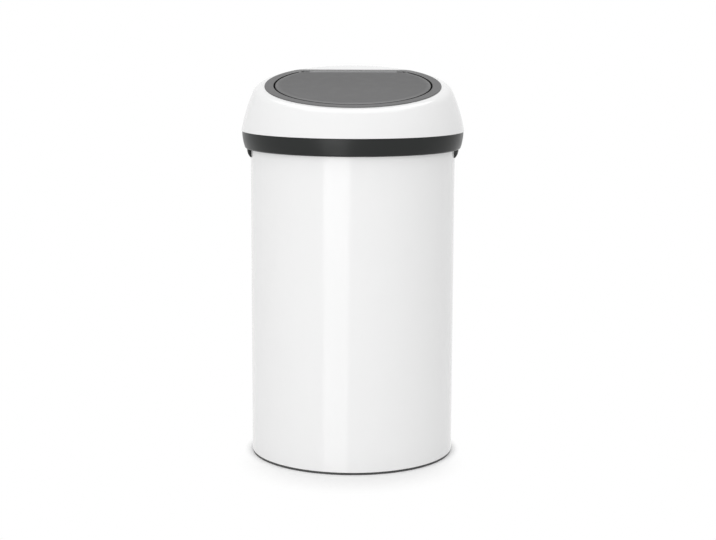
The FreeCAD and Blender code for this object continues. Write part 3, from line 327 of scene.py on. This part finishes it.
def shaded(material, place, inputs):
    """Close a finish with its surface shader."""
    surface = place.add("ShaderNodeBsdfPrincipled", {}, inputs)
    place.add("ShaderNodeOutputMaterial", {}, {"Surface": surface})
    return material


def distance_from_axis(place):
    """Distance from the upright axis of the drum."""
    return span_of(vector_sum("MULTIPLY", place, (1, 1, 0)))


def height_of(place):
    """Height above the floor."""
    return place.add("ShaderNodeSeparateXYZ", {}, {0: place}, "Z")


def depth_of(place):
    """Depth below the slope that the flap's frame lies on."""
    return SLOPE_LEVEL - vector_sum("DOT_PRODUCT", place, SLOPE_UP, "Value")


def reach_of(place):
    """Distance from the middle of the slope, measured along it."""
    arm = vector_sum("SUBTRACT", place, SLOPE_MIDDLE)
    rise = vector_sum("PROJECT", arm, SLOPE_UP)
    return span_of(vector_sum("SUBTRACT", arm, rise))


def run_of(place):
    """Distance up the slope from the axis of the flap's hinge."""
    arm = vector_sum("SUBTRACT", place, FLAP_AXIS)
    return vector_sum("DOT_PRODUCT", arm, SLOPE_BACK, "Value")


def frame_painted_gap_shade(place):
    """Mask of painted shade: the frame's walls round the gap, up to their rounded edge, are darkened as
    the gap's shade.
    """
    depth = depth_of(place)
    inner = 1 - ramp(reach_of(place), *FRAME_EDGE_REACH)
    before_bar = 1 - ramp(run_of(place), *FLAP_END_RUN)
    edge = inner * ramp(depth, *FRAME_EDGE_DEPTH) * before_bar
    return either(edge, ramp(depth, *FRAME_WALL_DEPTH))


def flap_painted_gap_shade(place):
    """Mask of painted shade: the flap's side walls, up to its rounded edge, are darkened as the gap's
    shade.
    """
    edge = ramp(reach_of(place), *FLAP_EDGE_REACH)
    return either(edge, ramp(depth_of(place), *FLAP_WALL_DEPTH))


def frame_rub_and_highlight(place):
    """How far the frame gets a clear coat and a painted highlight, which is towards its back bar."""
    return ramp(run_of(place), *BACK_BAR_RUN) * BACK_BAR_RUB_AND_HIGHLIGHT


def flap_rub_and_highlight(place):
    """How far the flap gets a clear coat, rubbed by hands at its front and rolled border and by the frame
    at its barrel, and a painted highlight at the same places.
    """
    run = run_of(place)
    front = 1 - ramp(run, *FLAP_FRONT_RUN)
    border = ramp(depth_of(place), *FLAP_BORDER_DEPTH)
    barrel = ramp(run, *FLAP_END_RUN)
    barrel_front = barrel * (1 - ramp(run, *BARREL_FRONT_RUN))
    front_and_border = (front * FLAP_FRONT_RUB_AND_HIGHLIGHT + border * FLAP_BORDER_RUB_AND_HIGHLIGHT) * (1 - barrel)
    return front_and_border + barrel * BARREL_RUB_AND_HIGHLIGHT + barrel_front * BARREL_FRONT_RUB_AND_HIGHLIGHT


def coated_sheet(look):
    """White coat with a faint orange peel; the drum's inside has a greyer, duller coat."""
    material, place = new_finish("white_coat")
    outside = ramp(distance_from_axis(place), *SHEET_RADIUS)
    above = ramp(height_of(place), *HOOD_FOOT)
    shown = either(outside, above)
    cloud = noise(place, 7.0, detail=3.0)
    foot = 1 - ramp(height_of(place), *DRUM_FOOT)
    dust = noise(place, 60.0, detail=4.0) * foot * 0.25
    clean = mixed(cloud, rgba(look.paint, 0.992), rgba(look.paint))
    coat = mixed(dust, clean, rgba(look.paint, 0.9))
    lining = mixed(noise(place, 35.0), rgba(look.lining, 0.94), rgba(look.lining))
    peel = noise(place, 420.0, detail=1.0)
    return shaded(material, place, {
        "Base Color": mixed(shown, lining, coat),
        "Roughness": look.paint_roughness + (1 - shown) * 0.2 + cloud * 0.05 + dust * 0.2,
        "Specular IOR Level": 0.16,
        "Normal": bump(peel, 0.05, 0.2 * MM)})


def moulded(name, value, roughness, gloss=0.2, grain=2200.0, walls=None, rub_and_highlight=None):
    """Moulded plastic: fine spark-eroded grain, slow colour drift and slightly polished patches.

    Functions may be given that mask painted shade on the walls of the gap, and places that get a clear
    coat and a painted highlight.
    """
    material, place = new_finish(name)
    drift = noise(place, 16.0)
    handled = ramp(noise(place, 48.0, detail=3.0), 0.42, 0.7)
    pits = place.add("ShaderNodeTexVoronoi", {"feature": "F1"}, {"Vector": place, "Scale": grain})
    fine = noise(place, grain * 0.6)
    tone = mixed(drift, *(rgba(value, shade) for shade in DRIFT_SHADES))
    tone = mixed(fine * 0.35, tone, rgba(value, GRAIN_SHADE))
    inputs = {
        "Roughness": roughness + drift * 0.03 - handled * 0.04,
        "Specular IOR Level": gloss,
        "Normal": bump(pits + fine, 0.1, 0.1 * MM)}
    # Painted highlight: where the clear coat goes, the colour is also made paler
    if rub_and_highlight:
        rub_and_highlight_mask = rub_and_highlight(place)
        tone = mixed(rub_and_highlight_mask, tone, rgba(value, PAINTED_HIGHLIGHT_SHADE))
        inputs.update({"Coat Weight": rub_and_highlight_mask, "Coat Roughness": 0.3})
    # Painted shade: the walls of the gap are darkened
    if walls:
        tone = mixed(walls(place), tone, rgba(value, PAINTED_GAP_SHADE))
    inputs["Base Color"] = tone
    return shaded(material, place, inputs)


def plated(look, name="bright_zinc", shade=1.0):
    """Plated steel with fine drawn lines and dull spots, one finish for all that share its name."""
    shared = bpy.data.materials.get(name)
    if shared:
        return shared
    material, place = new_finish(name)
    spots = ramp(noise(place, 900.0, detail=3.0), 0.45, 0.75)
    drift = noise(place, 120.0)
    return shaded(material, place, {
        "Base Color": mixed(spots, rgba(look.zinc, 1.08 * shade), rgba(look.zinc, 0.72 * shade)),
        "Metallic": 1.0,
        "Roughness": 0.2 + spots * 0.2 + drift * 0.1,
        "Normal": bump(drift, 0.08, 0.1 * MM)})


def coated_floor(look):
    """Grey coated sheet with a faint spangle and scuffs from bags."""
    material, place = new_finish("grey_sheet")
    cells = place.add("ShaderNodeTexVoronoi", {"feature": "F1"}, {"Vector": place, "Scale": 90.0}, "Color")
    spangle = cells.add("ShaderNodeRGBToBW", {}, {0: cells})
    scuffs = ramp(noise(place, 22.0, detail=6.0), 0.55, 0.75)
    tone = mixed(spangle, rgba(look.lining, 0.86), rgba(look.lining, 1.06))
    return shaded(material, place, {
        "Base Color": mixed(scuffs * 0.5, tone, rgba(look.lining, 0.7)),
        "Metallic": 0.35,
        "Roughness": 0.38 + spangle * 0.1 + scuffs * 0.15,
        "Normal": bump(spangle, 0.04, 0.1 * MM)})


def soft_rubber(look):
    """Black rubber with a pale bloom."""
    material, place = new_finish("soft_rubber")
    bloom = noise(place, 300.0, detail=3.0)
    return shaded(material, place, {
        "Base Color": mixed(bloom, rgba(look.rubber), rgba(look.rubber, 1.8)),
        "Roughness": 0.72 + bloom * 0.15,
        "Normal": bump(bloom, 0.2, 0.1 * MM)})


def dress(finish, *nodes):
    """Give packed nodes a finish."""
    for name in nodes:
        mesh = frame["nodes"][name].data
        mesh.materials.clear()
        mesh.materials.append(finish)


# Shared modelling steps

MERGE = 0.002 * MM
PACKED_MERGE = 0.005 * MM
SHARP_EDGE = math.radians(40)
WIRE_SIDES = 12
WIRE_STEPS_PER_TURN = 28
TURNED_SIDES = 24


def new_piece(name, shape, finish):
    """Object from a bmesh, at the origin, smooth but for its sharp edges."""
    bmesh.ops.remove_doubles(shape, verts=shape.verts, dist=MERGE)
    bmesh.ops.recalc_face_normals(shape, faces=shape.faces)
    for edge in shape.edges:
        edge.smooth = edge.calc_face_angle(0) < SHARP_EDGE
    for face in shape.faces:
        face.smooth = True
    mesh = bpy.data.meshes.new(name)
    shape.to_mesh(mesh)
    shape.free()
    mesh.materials.append(finish)
    piece = bpy.data.objects.new(name, mesh)
    bpy.context.scene.collection.objects.link(piece)
    return piece


def stand_in(piece, node):
    """Ride on the node's body and stand for the node."""
    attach(piece, frame["nodes"][node]["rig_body"])
    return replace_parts(piece, node)


def packed_copy(node):
    """Merged bmesh copy of a packed node's mesh."""
    shape = bmesh.new()
    shape.from_mesh(frame["nodes"][node].data)
    bmesh.ops.remove_doubles(shape, verts=shape.verts, dist=PACKED_MERGE)
    return shape


def add_copy(shape, single):
    """Move a finished bmesh into another one."""
    mesh = bpy.data.meshes.new("single")
    single.to_mesh(mesh)
    single.free()
    shape.from_mesh(mesh)
    bpy.data.meshes.remove(mesh)


def facing(place, forward):
    """Matrix that puts local +Z along a direction at a place."""
    turn = forward.to_track_quat("Z", "Y").to_matrix().to_4x4()
    return Matrix.Translation(place) @ turn


def loop_of(shape, verts):
    """Edges between the given vertices."""
    chosen = set(verts)
    return [edge for edge in shape.edges if chosen.issuperset(edge.verts)]


def verts_in(parts):
    """Vertices among the parts that an operator made."""
    return [part for part in parts if isinstance(part, bmesh.types.BMVert)]


def pushed(shape, edges, move):
    """Extrude an open ring of edges by a straight move and return the new ring."""
    verts = verts_in(bmesh.ops.extrude_edge_only(shape, edges=edges)["geom"])
    bmesh.ops.translate(shape, verts=verts, vec=move)
    return loop_of(shape, verts)


def wound(shape, edges, centre, axis, turn, climb):
    """Sweep an open ring round an axis, climbing along it, and return the last ring."""
    steps = max(2, round(abs(turn) / FULL_TURN * WIRE_STEPS_PER_TURN))
    verts = {vert for edge in edges for vert in edge.verts}
    made = bmesh.ops.spin(
        shape, geom=list(verts) + list(edges), cent=centre, axis=axis, dvec=axis * (climb / steps),
        angle=turn, steps=steps, use_merge=False, use_duplicate=False)
    return loop_of(shape, verts_in(made["geom_last"]))


def wire_ring(shape, place, along, thickness):
    """Open ring of wire section at a place, square to a direction."""
    made = bmesh.ops.create_circle(
        shape, cap_ends=False, segments=WIRE_SIDES, radius=thickness / 2, matrix=facing(place, along))
    return loop_of(shape, made["verts"])


def close_ends(shape):
    """Fill the open ends of a swept shape."""
    ends = [edge for edge in shape.edges if edge.is_boundary]
    bmesh.ops.holes_fill(shape, edges=ends, sides=0)


def turned(shape, profile, place, forward):
    """Turn (radius, height) corners about a direction through a place."""
    matrix = facing(place, forward)
    verts = [shape.verts.new(matrix @ Vector((radius, 0, height))) for radius, height in profile]
    edges = [shape.edges.new(pair) for pair in zip(verts, verts[1:])]
    bmesh.ops.spin(
        shape, geom=verts + edges, cent=place, axis=forward, angle=FULL_TURN, steps=TURNED_SIDES,
        use_merge=True, use_duplicate=False)


def separate_solids(node):
    """Point clouds of a packed node's separate solids."""
    shape = packed_copy(node)
    left = set(shape.verts)
    clouds = []
    while left:
        todo = [left.pop()]
        cloud = []
        while todo:
            vert = todo.pop()
            cloud.append(vert.co.copy())
            for edge in vert.link_edges:
                other = edge.other_vert(vert)
                if other in left:
                    left.remove(other)
                    todo.append(other)
        clouds.append(cloud)
    shape.free()
    return clouds


def middle_of(points):
    """Middle of the box round some points."""
    low = Vector([min(point[axis] for point in points) for axis in range(3)])
    high = Vector([max(point[axis] for point in points) for axis in range(3)])
    return (low + high) / 2


def reach_along(points, place, forward):
    """Lowest and highest reach of points along a direction from a place."""
    reach = [(point - place).dot(forward) for point in points]
    return min(reach), max(reach)


def radius_about(points, place, forward):
    """Largest distance of points from a line through a place."""
    return max((point - place - forward * (point - place).dot(forward)).length for point in points)


def inwards(place):
    """Level direction from a place to the axis of the drum."""
    return Vector((-place.x, -place.y, 0)).normalized()


# Operators

class BIN_OT_paint(bpy.types.Operator):
    """Coat the drum and the hood, and lay the weld bead down the drum's back"""
    bl_idname = "bin.paint"
    bl_label = "Painted shell"

    SEAM_START = 2 * MM
    SEAM_SHORTER = 30 * MM
    SEAM_SHOULDER = 0.6

    def execute(self, context):
        finish = coated_sheet(context.scene.bin_finishes)
        dress(finish, "drum", "hood_shell")
        details = context.scene.bin_details
        low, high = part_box("drum")
        half = details.seam_width / 2
        rise = details.seam_rise
        side = half * self.SEAM_SHOULDER
        shoulder = rise * self.SEAM_SHOULDER
        bead = [(-half, -rise), (-side, shoulder), (0, rise), (side, shoulder), (half, -rise)]
        shape = bmesh.new()
        verts = [shape.verts.new((x, high.y + y, low.z + self.SEAM_START)) for x, y in bead]
        edges = [shape.edges.new(pair) for pair in zip(verts, verts[1:] + verts[:1])]
        pushed(shape, edges, UP * (high.z - low.z - self.SEAM_SHORTER))
        close_ends(shape)
        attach(new_piece("drum_seam", shape, finish), "bin")
        return {"FINISHED"}


class BIN_OT_rim(bpy.types.Operator):
    """Finish the dark rim, its grips and the hood's hinge plates"""
    bl_idname = "bin.rim"
    bl_label = "Rim and hood hinge"

    def execute(self, context):
        look = context.scene.bin_finishes
        finish = moulded("dark_plastic", look.rim, look.rim_roughness, gloss=0.105)
        dress(finish, "rim_ring", "carry_grip_left", "carry_grip_right", "hinge_bracket", "hinge_leaf")
        return {"FINISHED"}


class BIN_OT_base(bpy.types.Operator):
    """Finish the base ring and the floor panel"""
    bl_idname = "bin.base"
    bl_label = "Base and floor"

    def execute(self, context):
        look = context.scene.bin_finishes
        dress(moulded("black_plastic", look.base, look.plastic_roughness + 0.1), "base_ring")
        dress(coated_floor(look), "floor_plate")
        return {"FINISHED"}


class BIN_OT_flap(bpy.types.Operator):
    """Finish the frame round the flap, and sink the flap's cover into it"""
    bl_idname = "bin.flap"
    bl_label = "Flap and frame"

    GLOSS = 0.03
    COVER_LEVEL = 0.4 * MM
    COVER_END = 0.1 * MM - FLAP_BACK

    def in_cover(self, place):
        """Whether a place is in the flap's cover, above its side walls and before its hinge."""
        before = (place - FLAP_AXIS).dot(SLOPE_BACK) < self.COVER_END
        return before and place.dot(SLOPE_UP) - SLOPE_LEVEL > self.COVER_LEVEL

    def execute(self, context):
        look = context.scene.bin_finishes
        dress(moulded("frame_grey", look.flap_frame, look.flap_roughness, gloss=self.GLOSS,
                      walls=frame_painted_gap_shade, rub_and_highlight=frame_rub_and_highlight), "flap_frame")
        finish = moulded("flap_grey", look.flap, look.flap_roughness, gloss=self.GLOSS,
                         walls=flap_painted_gap_shade, rub_and_highlight=flap_rub_and_highlight)
        shape = packed_copy("flap_panel")
        cover = [vert for vert in shape.verts if self.in_cover(vert.co)]
        if not cover:
            raise RuntimeError("The flap's cover wasn't found")
        bmesh.ops.translate(shape, verts=cover, vec=SLOPE_UP * -context.scene.bin_details.flap_drop)
        stand_in(new_piece("flap_panel_sunk", shape, finish), "flap_panel")
        return {"FINISHED"}


class BIN_OT_inside(bpy.types.Operator):
    """Finish the plastics inside the hood and the latch"""
    bl_idname = "bin.inside"
    bl_label = "Inner plastics"

    def execute(self, context):
        look = context.scene.bin_finishes
        dress(moulded("inner_plastic", look.inner, look.plastic_roughness + 0.08),
              "hood_carrier", "frame_retainer", "flap_inner", "latch_housing", "latch_striker",
              "flap_bush_left", "flap_bush_right")
        dress(moulded("slider_plastic", look.slider, 0.34, grain=3000.0), "latch_slider")
        return {"FINISHED"}


class BIN_OT_pins(bpy.types.Operator):
    """Finish the two hinge pins"""
    bl_idname = "bin.pins"
    bl_label = "Hinge pins"

    BLACK_SHADE = 0.12

    def execute(self, context):
        look = context.scene.bin_finishes
        dress(plated(look), "hood_hinge_pin")
        dress(plated(look, "black_zinc", self.BLACK_SHADE), "flap_pin")
        return {"FINISHED"}


class BIN_OT_screws(bpy.types.Operator):
    """Model the screws with rounded heads and cross recesses"""
    bl_idname = "bin.screws"
    bl_label = "Screws"

    ON_SLOPE = ("frame_screws", "flap_screws", "striker_screws")
    ROUND_THE_BIN = ("bracket_screws", "leaf_screws")
    IN_LATCH = ("latch_screws",)
    HEAD = 1.8 * MM
    SHANK = 1.6 * MM
    TIP = 0.7
    RECESS = 1.1 * MM
    RECESS_REACH = 0.75
    RECESS_ARM = 0.62
    RECESS_CORNER = 0.8
    RECESS_TAPER = 0.6
    LEVEL = 0.01 * MM
    # Corners of a head as shares of its radius and height; the last one leaves an open ring
    HEAD_CORNERS = ((0.96, 1), (1, 0.86), (1, 0.5), (0.93, 0.2), (0.8, 0.04), (0.7, 0))

    def way(self, node, place):
        """Direction that a node's screw is driven in."""
        if node in self.ON_SLOPE:
            return SLOPE_UP
        if node in self.ROUND_THE_BIN:
            return inwards(place)
        along = inwards(place)
        return (along - SLOPE_UP * along.dot(SLOPE_UP)).normalized()

    def recess(self, shape, place, forward, radius):
        """Cross recess in the open ring that the head leaves at its top."""
        top = [edge for edge in shape.edges if edge.is_boundary and all(
            abs((vert.co - place).dot(forward)) < self.LEVEL and (vert.co - place).length < radius
            for vert in edge.verts)]
        if not top:
            raise RuntimeError("A screw's head has no open ring")
        before = set(shape.faces)
        arm = radius * self.RECESS_ARM
        bmesh.ops.create_grid(shape, x_segments=3, y_segments=3, size=arm, matrix=facing(place, forward))
        cells = [face for face in shape.faces if face not in before]
        corner = arm * self.RECESS_CORNER
        corners = [face for face in cells if (face.calc_center_median() - place).length > corner]
        cross = [face for face in cells if face not in corners]
        bmesh.ops.delete(shape, geom=corners, context="FACES")
        outline = [edge for face in cross for edge in face.edges if edge.is_boundary]
        bmesh.ops.bridge_loops(shape, edges=top + outline)
        floor = verts_in(bmesh.ops.extrude_face_region(shape, geom=cross)["geom"])
        bmesh.ops.delete(shape, geom=cross, context="FACES")
        bmesh.ops.translate(shape, verts=floor, vec=forward * self.RECESS)
        bmesh.ops.scale(shape, verts=floor, vec=[self.RECESS_TAPER] * 3,
                        space=Matrix.Translation(-place - forward * self.RECESS))

    def screw(self, shape, cloud, forward):
        """Screw that drives along forward, on the lines of a plain one."""
        middle = middle_of(cloud)
        low, high = reach_along(cloud, middle, forward)
        place = middle + forward * low
        radius = radius_about(cloud, middle, forward)
        end = high - low
        shank = [(0, end), (self.SHANK * self.TIP, end), (self.SHANK, end - self.SHANK),
                 (self.SHANK, self.HEAD)]
        head = [(radius * across, self.HEAD * rise) for across, rise in self.HEAD_CORNERS]
        turned(shape, shank + head, place, forward)
        self.recess(shape, place, forward, radius * self.RECESS_REACH)

    def execute(self, context):
        finish = plated(context.scene.bin_finishes)
        for node in self.ON_SLOPE + self.ROUND_THE_BIN + self.IN_LATCH:
            shape = bmesh.new()
            for cloud in separate_solids(node):
                single = bmesh.new()
                self.screw(single, cloud, self.way(node, middle_of(cloud)))
                add_copy(shape, single)
            stand_in(new_piece(node + "_cross", shape, finish), node)
        return {"FINISHED"}


class BIN_OT_rivets(bpy.types.Operator):
    """Model the rivets with domed heads"""
    bl_idname = "bin.rivets"
    bl_label = "Rivets"

    SHANK = 2.0 * MM
    HEAD = 1.4 * MM
    TAIL = 1.2 * MM
    TAIL_RADIUS = 0.9
    DOME_ANGLES = (0, 25, 45, 62, 76, 90)

    def dome(self, radius, base, rise):
        """Corners of a dome that stands up from base by rise, or hangs down where rise is negative."""
        steps = [math.radians(step) for step in self.DOME_ANGLES]
        return [(radius * math.cos(step), base + rise * math.sin(step)) for step in steps]

    def execute(self, context):
        finish = plated(context.scene.bin_finishes)
        for node, has_tail in (("rim_rivets", True), ("grip_rivets", False)):
            shape = bmesh.new()
            for cloud in separate_solids(node):
                middle = middle_of(cloud)
                forward = inwards(middle)
                low, high = reach_along(cloud, middle, forward)
                radius = radius_about(cloud, middle, forward)
                head = self.dome(radius, high - self.HEAD, self.HEAD)
                if has_tail:
                    tail = self.dome(radius * self.TAIL_RADIUS, low + self.TAIL, -self.TAIL)
                    foot = tail[::-1] + [(self.SHANK, low + self.TAIL)]
                else:
                    foot = [(0, low), (self.SHANK, low)]
                turned(shape, foot + [(self.SHANK, high - self.HEAD)] + head, middle, forward)
            stand_in(new_piece(node + "_domed", shape, finish), node)
        return {"FINISHED"}


class BIN_OT_springs(bpy.types.Operator):
    """Wind the flap's opening spring and the latch's coil from round wire"""
    bl_idname = "bin.springs"
    bl_label = "Springs"

    def opening_spring(self, details, finish):
        """Torsion spring on the flap's pin, which twists as the flap swings on the real bin; here it is
        modelled at rest.
        """
        radius = details.opening_radius
        bend = details.leg_bend
        run = details.opening_pitch * details.opening_turns
        left = FLAP_AXIS - ACROSS * (run / 2)
        right = FLAP_AXIS + ACROSS * (run / 2)
        shape = bmesh.new()
        first = wire_ring(shape, left + SLOPE_BACK * radius, SLOPE_UP, details.opening_wire)
        pushed(shape, first, SLOPE_UP * -details.fixed_leg)
        last = wound(shape, first, left, ACROSS, FULL_TURN * details.opening_turns, run)
        drop = pushed(shape, last, SLOPE_UP * (bend - details.leg_drop))
        corner = right - SLOPE_BACK * (radius + bend) - SLOPE_UP * (details.leg_drop - bend)
        elbow = wound(shape, drop, corner, ACROSS, -FULL_TURN / 4, 0)
        pushed(shape, elbow, SLOPE_BACK * -details.free_leg)
        close_ends(shape)
        piece = new_piece("flap_spring_wire", shape, finish)
        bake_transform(piece)
        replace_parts(piece, "flap_spring")

    def latch_coil(self, details, finish):
        """Coil below the slider, which shortens as the flap is pressed on the real bin; here it is
        modelled at rest.
        """
        cloud = separate_solids("latch_spring")[0]
        middle = middle_of(cloud)
        foot = middle + SLOPE_UP * reach_along(cloud, middle, SLOPE_UP)[0]
        centre = foot + SLOPE_UP * (details.latch_wire / 2)
        shape = bmesh.new()
        first = wire_ring(shape, centre + ACROSS * details.latch_radius, SLOPE_BACK, details.latch_wire)
        wound(shape, first, centre, SLOPE_UP, FULL_TURN * details.latch_turns, details.latch_length)
        close_ends(shape)
        piece = stand_in(new_piece("latch_spring_coil", shape, finish), "latch_spring")
        lever = (FLAP_AXIS - foot).dot(SLOPE_BACK)
        travel = lever * math.radians(-JOINTS["flap_touch"]["range_deg"][0])
        1 - travel / (details.latch_length + details.latch_wire)
        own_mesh(piece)

    def execute(self, context):
        details = context.scene.bin_details
        finish = plated(context.scene.bin_finishes)
        self.opening_spring(details, finish)
        self.latch_coil(details, finish)
        return {"FINISHED"}


class BIN_OT_buffers(bpy.types.Operator):
    """Model the hood's rubber buffers with rounded heads"""
    bl_idname = "bin.buffers"
    bl_label = "Buffers"

    NECK = 2.0 * MM
    NECK_HEIGHT = 2.6 * MM
    CAP = 1.2 * MM
    CAP_EDGE = 0.4 * MM
    # Corners of the lower head as shares of its radius and heights above its foot
    HEAD_CORNERS = ((0, 0), (0.7, 0), (0.93, 0.15 * MM), (1, 0.45 * MM))

    def execute(self, context):
        finish = soft_rubber(context.scene.bin_finishes)
        shape = bmesh.new()
        for cloud in separate_solids("hood_buffers"):
            middle = middle_of(cloud)
            low, high = reach_along(cloud, middle, UP)
            radius = radius_about(cloud, middle, UP)
            cap = high - self.CAP
            shoulder = cap - self.NECK_HEIGHT
            head = [(radius * across, low + rise) for across, rise in self.HEAD_CORNERS]
            neck = [(radius, shoulder), (self.NECK, shoulder), (self.NECK, cap), (radius, cap)]
            top = [(radius * 0.9, cap + self.CAP_EDGE), (self.NECK * 0.6, high), (0, high)]
            turned(shape, head + neck + top, middle, UP)
        stand_in(new_piece("hood_buffers_rubber", shape, finish), "hood_buffers")
        return {"FINISHED"}


class BIN_OT_stage(bpy.types.Operator):
    """Set the pale floor, the white room, the softboxes and the camera"""
    bl_idname = "bin.stage"
    bl_label = "Studio"

    WHITE = (1, 1, 1, 1)
    SENSOR = 36
    FLOOR_RADIUS = 60.0
    FLOOR_SIDES = 64
    # Distances from the drum's axis over which the shadow on the floor fades to plain white
    CONTACT_SPAN = (0.174, 0.19)
    SHADOW_SPAN = (0.11, 0.2)
    SHADOW_SHIFT = (0, 0.09, 0)
    # Width and height of each softbox, where it stands and what it faces
    BAND = ((1.35, 3.8), (-0.88, -2.7, -0.1), (0, 0, -0.1))
    FRONT = ((1.8, 1.6), (-0.7, -2.65, 0.85), (0, 0, 0.35))
    TOP = ((2.2, 2.2), (0, 0.1, 2.4), (0, 0.1, 0.6))
    CREST = ((2.2, 2.4), (0, 0.7, 2.6), (0, 0.7, 0.6))

    def floor(self, studio):
        """Pale floor that keeps the shadow by the bin and shows as plain white further off."""
        shape = bmesh.new()
        bmesh.ops.create_circle(
            shape, cap_ends=True, segments=self.FLOOR_SIDES, radius=self.FLOOR_RADIUS)
        mesh = bpy.data.meshes.new("studio_floor")
        shape.to_mesh(mesh)
        shape.free()
        floor = bpy.data.objects.new("studio_floor", mesh)
        bpy.context.scene.collection.objects.link(floor)
        floor.visible_glossy = False
        material, place = new_finish("studio_floor")
        matt = place.add("ShaderNodeBsdfDiffuse", {}, {"Color": rgba(studio.floor)})
        glow = place.add("ShaderNodeEmission", {}, {"Color": self.WHITE, "Strength": 1.0})
        far = ramp(distance_from_axis(vector_sum("ADD", place, self.SHADOW_SHIFT)), *self.SHADOW_SPAN)
        far *= ramp(distance_from_axis(place), *self.CONTACT_SPAN)
        share = studio.floor_glow + far * (1 - studio.floor_glow)
        both = place.add("ShaderNodeMixShader", {}, {0: self.seen(place) * share, 1: matt, 2: glow})
        place.add("ShaderNodeOutputMaterial", {}, {"Surface": both})
        mesh.materials.append(material)

    def seen(self, start):
        """Mask of the rays that show the room rather than light the bin by it."""
        camera, glossy, through = (
            start.add("ShaderNodeLightPath", {}, {}, f"Is {kind} Ray")
            for kind in ("Camera", "Glossy", "Transmission"))
        return camera + glossy + through

    def room(self, studio):
        """Room that is plain white where it is seen and lights the bin evenly."""
        world = bpy.data.worlds.new("studio_room")
        bpy.context.scene.world = world
        world.use_nodes = True
        world.node_tree.nodes.clear()
        start = Wire(world.node_tree)
        fill = start.add("ShaderNodeBackground", {}, {"Color": self.WHITE, "Strength": studio.fill})
        white = start.add("ShaderNodeBackground", {}, {"Color": self.WHITE, "Strength": 1.0})
        both = start.add("ShaderNodeMixShader", {}, {0: self.seen(start), 1: fill, 2: white})
        start.add("ShaderNodeOutputWorld", {}, {"Surface": both})

    def softbox(self, name, power, size, place, target, lights=True, shines=True):
        """Soft lamp that lights the bin, shines in its glossy finishes, or both."""
        lamp = bpy.data.lights.new(name, "AREA")
        lamp.shape = "RECTANGLE"
        lamp.size, lamp.size_y = size
        lamp.energy = power
        box = bpy.data.objects.new(name, lamp)
        bpy.context.scene.collection.objects.link(box)
        box.location = place
        box.rotation_euler = (Vector(target) - Vector(place)).to_track_quat("-Z", "Y").to_euler()
        box.visible_camera = False
        box.visible_diffuse = lights
        box.visible_glossy = shines

    def camera(self, studio):
        """Camera at the photograph's viewing angle."""
        lens = bpy.data.cameras.new("photo_camera")
        lens.sensor_width = self.SENSOR
        lens.lens = studio.camera_lens
        camera = bpy.data.objects.new("photo_camera", lens)
        bpy.context.scene.collection.objects.link(camera)
        look = Matrix.Rotation(math.pi / 2 - studio.camera_pitch, 4, "X")
        roll = Matrix.Rotation(studio.camera_roll, 4, "Z")
        camera.matrix_world = Matrix.Translation(studio.camera_place) @ look @ roll
        bpy.context.scene.camera = camera

    def execute(self, context):
        studio = context.scene.bin_studio
        context.scene.view_settings.view_transform = "Standard"
        self.floor(studio)
        self.room(studio)
        self.softbox("band_softbox", studio.band_power, *self.BAND, lights=False)
        self.softbox("front_softbox", studio.front_power, *self.FRONT, shines=False)
        self.softbox("top_softbox", studio.top_power, *self.TOP, shines=False)
        self.softbox("crest_softbox", studio.crest_power, *self.CREST, lights=False)
        self.camera(studio)
        return {"FINISHED"}


class BIN_PT_sidebar(bpy.types.Panel):
    """Buttons and settings of the waste bin"""
    bl_idname = "BIN_PT_sidebar"
    bl_label = "Touch-top waste bin"
    bl_space_type = "VIEW_3D"
    bl_region_type = "UI"
    bl_category = "Bin"

    def draw(self, context):
        for step in OPERATORS:
            self.layout.operator(step.bl_idname, text=step.bl_label)
        for name, group in GROUPS.items():
            box = self.layout.box()
            box.label(text=group.__doc__)
            for setting in group.__annotations__:
                box.prop(getattr(context.scene, name), setting)


GROUPS = {"bin_finishes": BinFinishes, "bin_details": BinDetails, "bin_studio": BinStudio}
OPERATORS = (
    BIN_OT_stage, BIN_OT_paint, BIN_OT_rim, BIN_OT_base, BIN_OT_flap, BIN_OT_inside, BIN_OT_pins,
    BIN_OT_screws, BIN_OT_rivets, BIN_OT_springs, BIN_OT_buffers)


def register():
    for kind in (*GROUPS.values(), *OPERATORS, BIN_PT_sidebar):
        bpy.utils.register_class(kind)
    for name, group in GROUPS.items():
        setattr(bpy.types.Scene, name, bpy.props.PointerProperty(type=group))


def unregister():
    for name in GROUPS:
        delattr(bpy.types.Scene, name)
    for kind in reversed((*GROUPS.values(), *OPERATORS, BIN_PT_sidebar)):
        bpy.utils.unregister_class(kind)


def main():
    register()
    for step in OPERATORS:
        category, name = step.bl_idname.split(".")
        getattr(getattr(bpy.ops, category), name)()


if __name__ == "__main__":
    main()
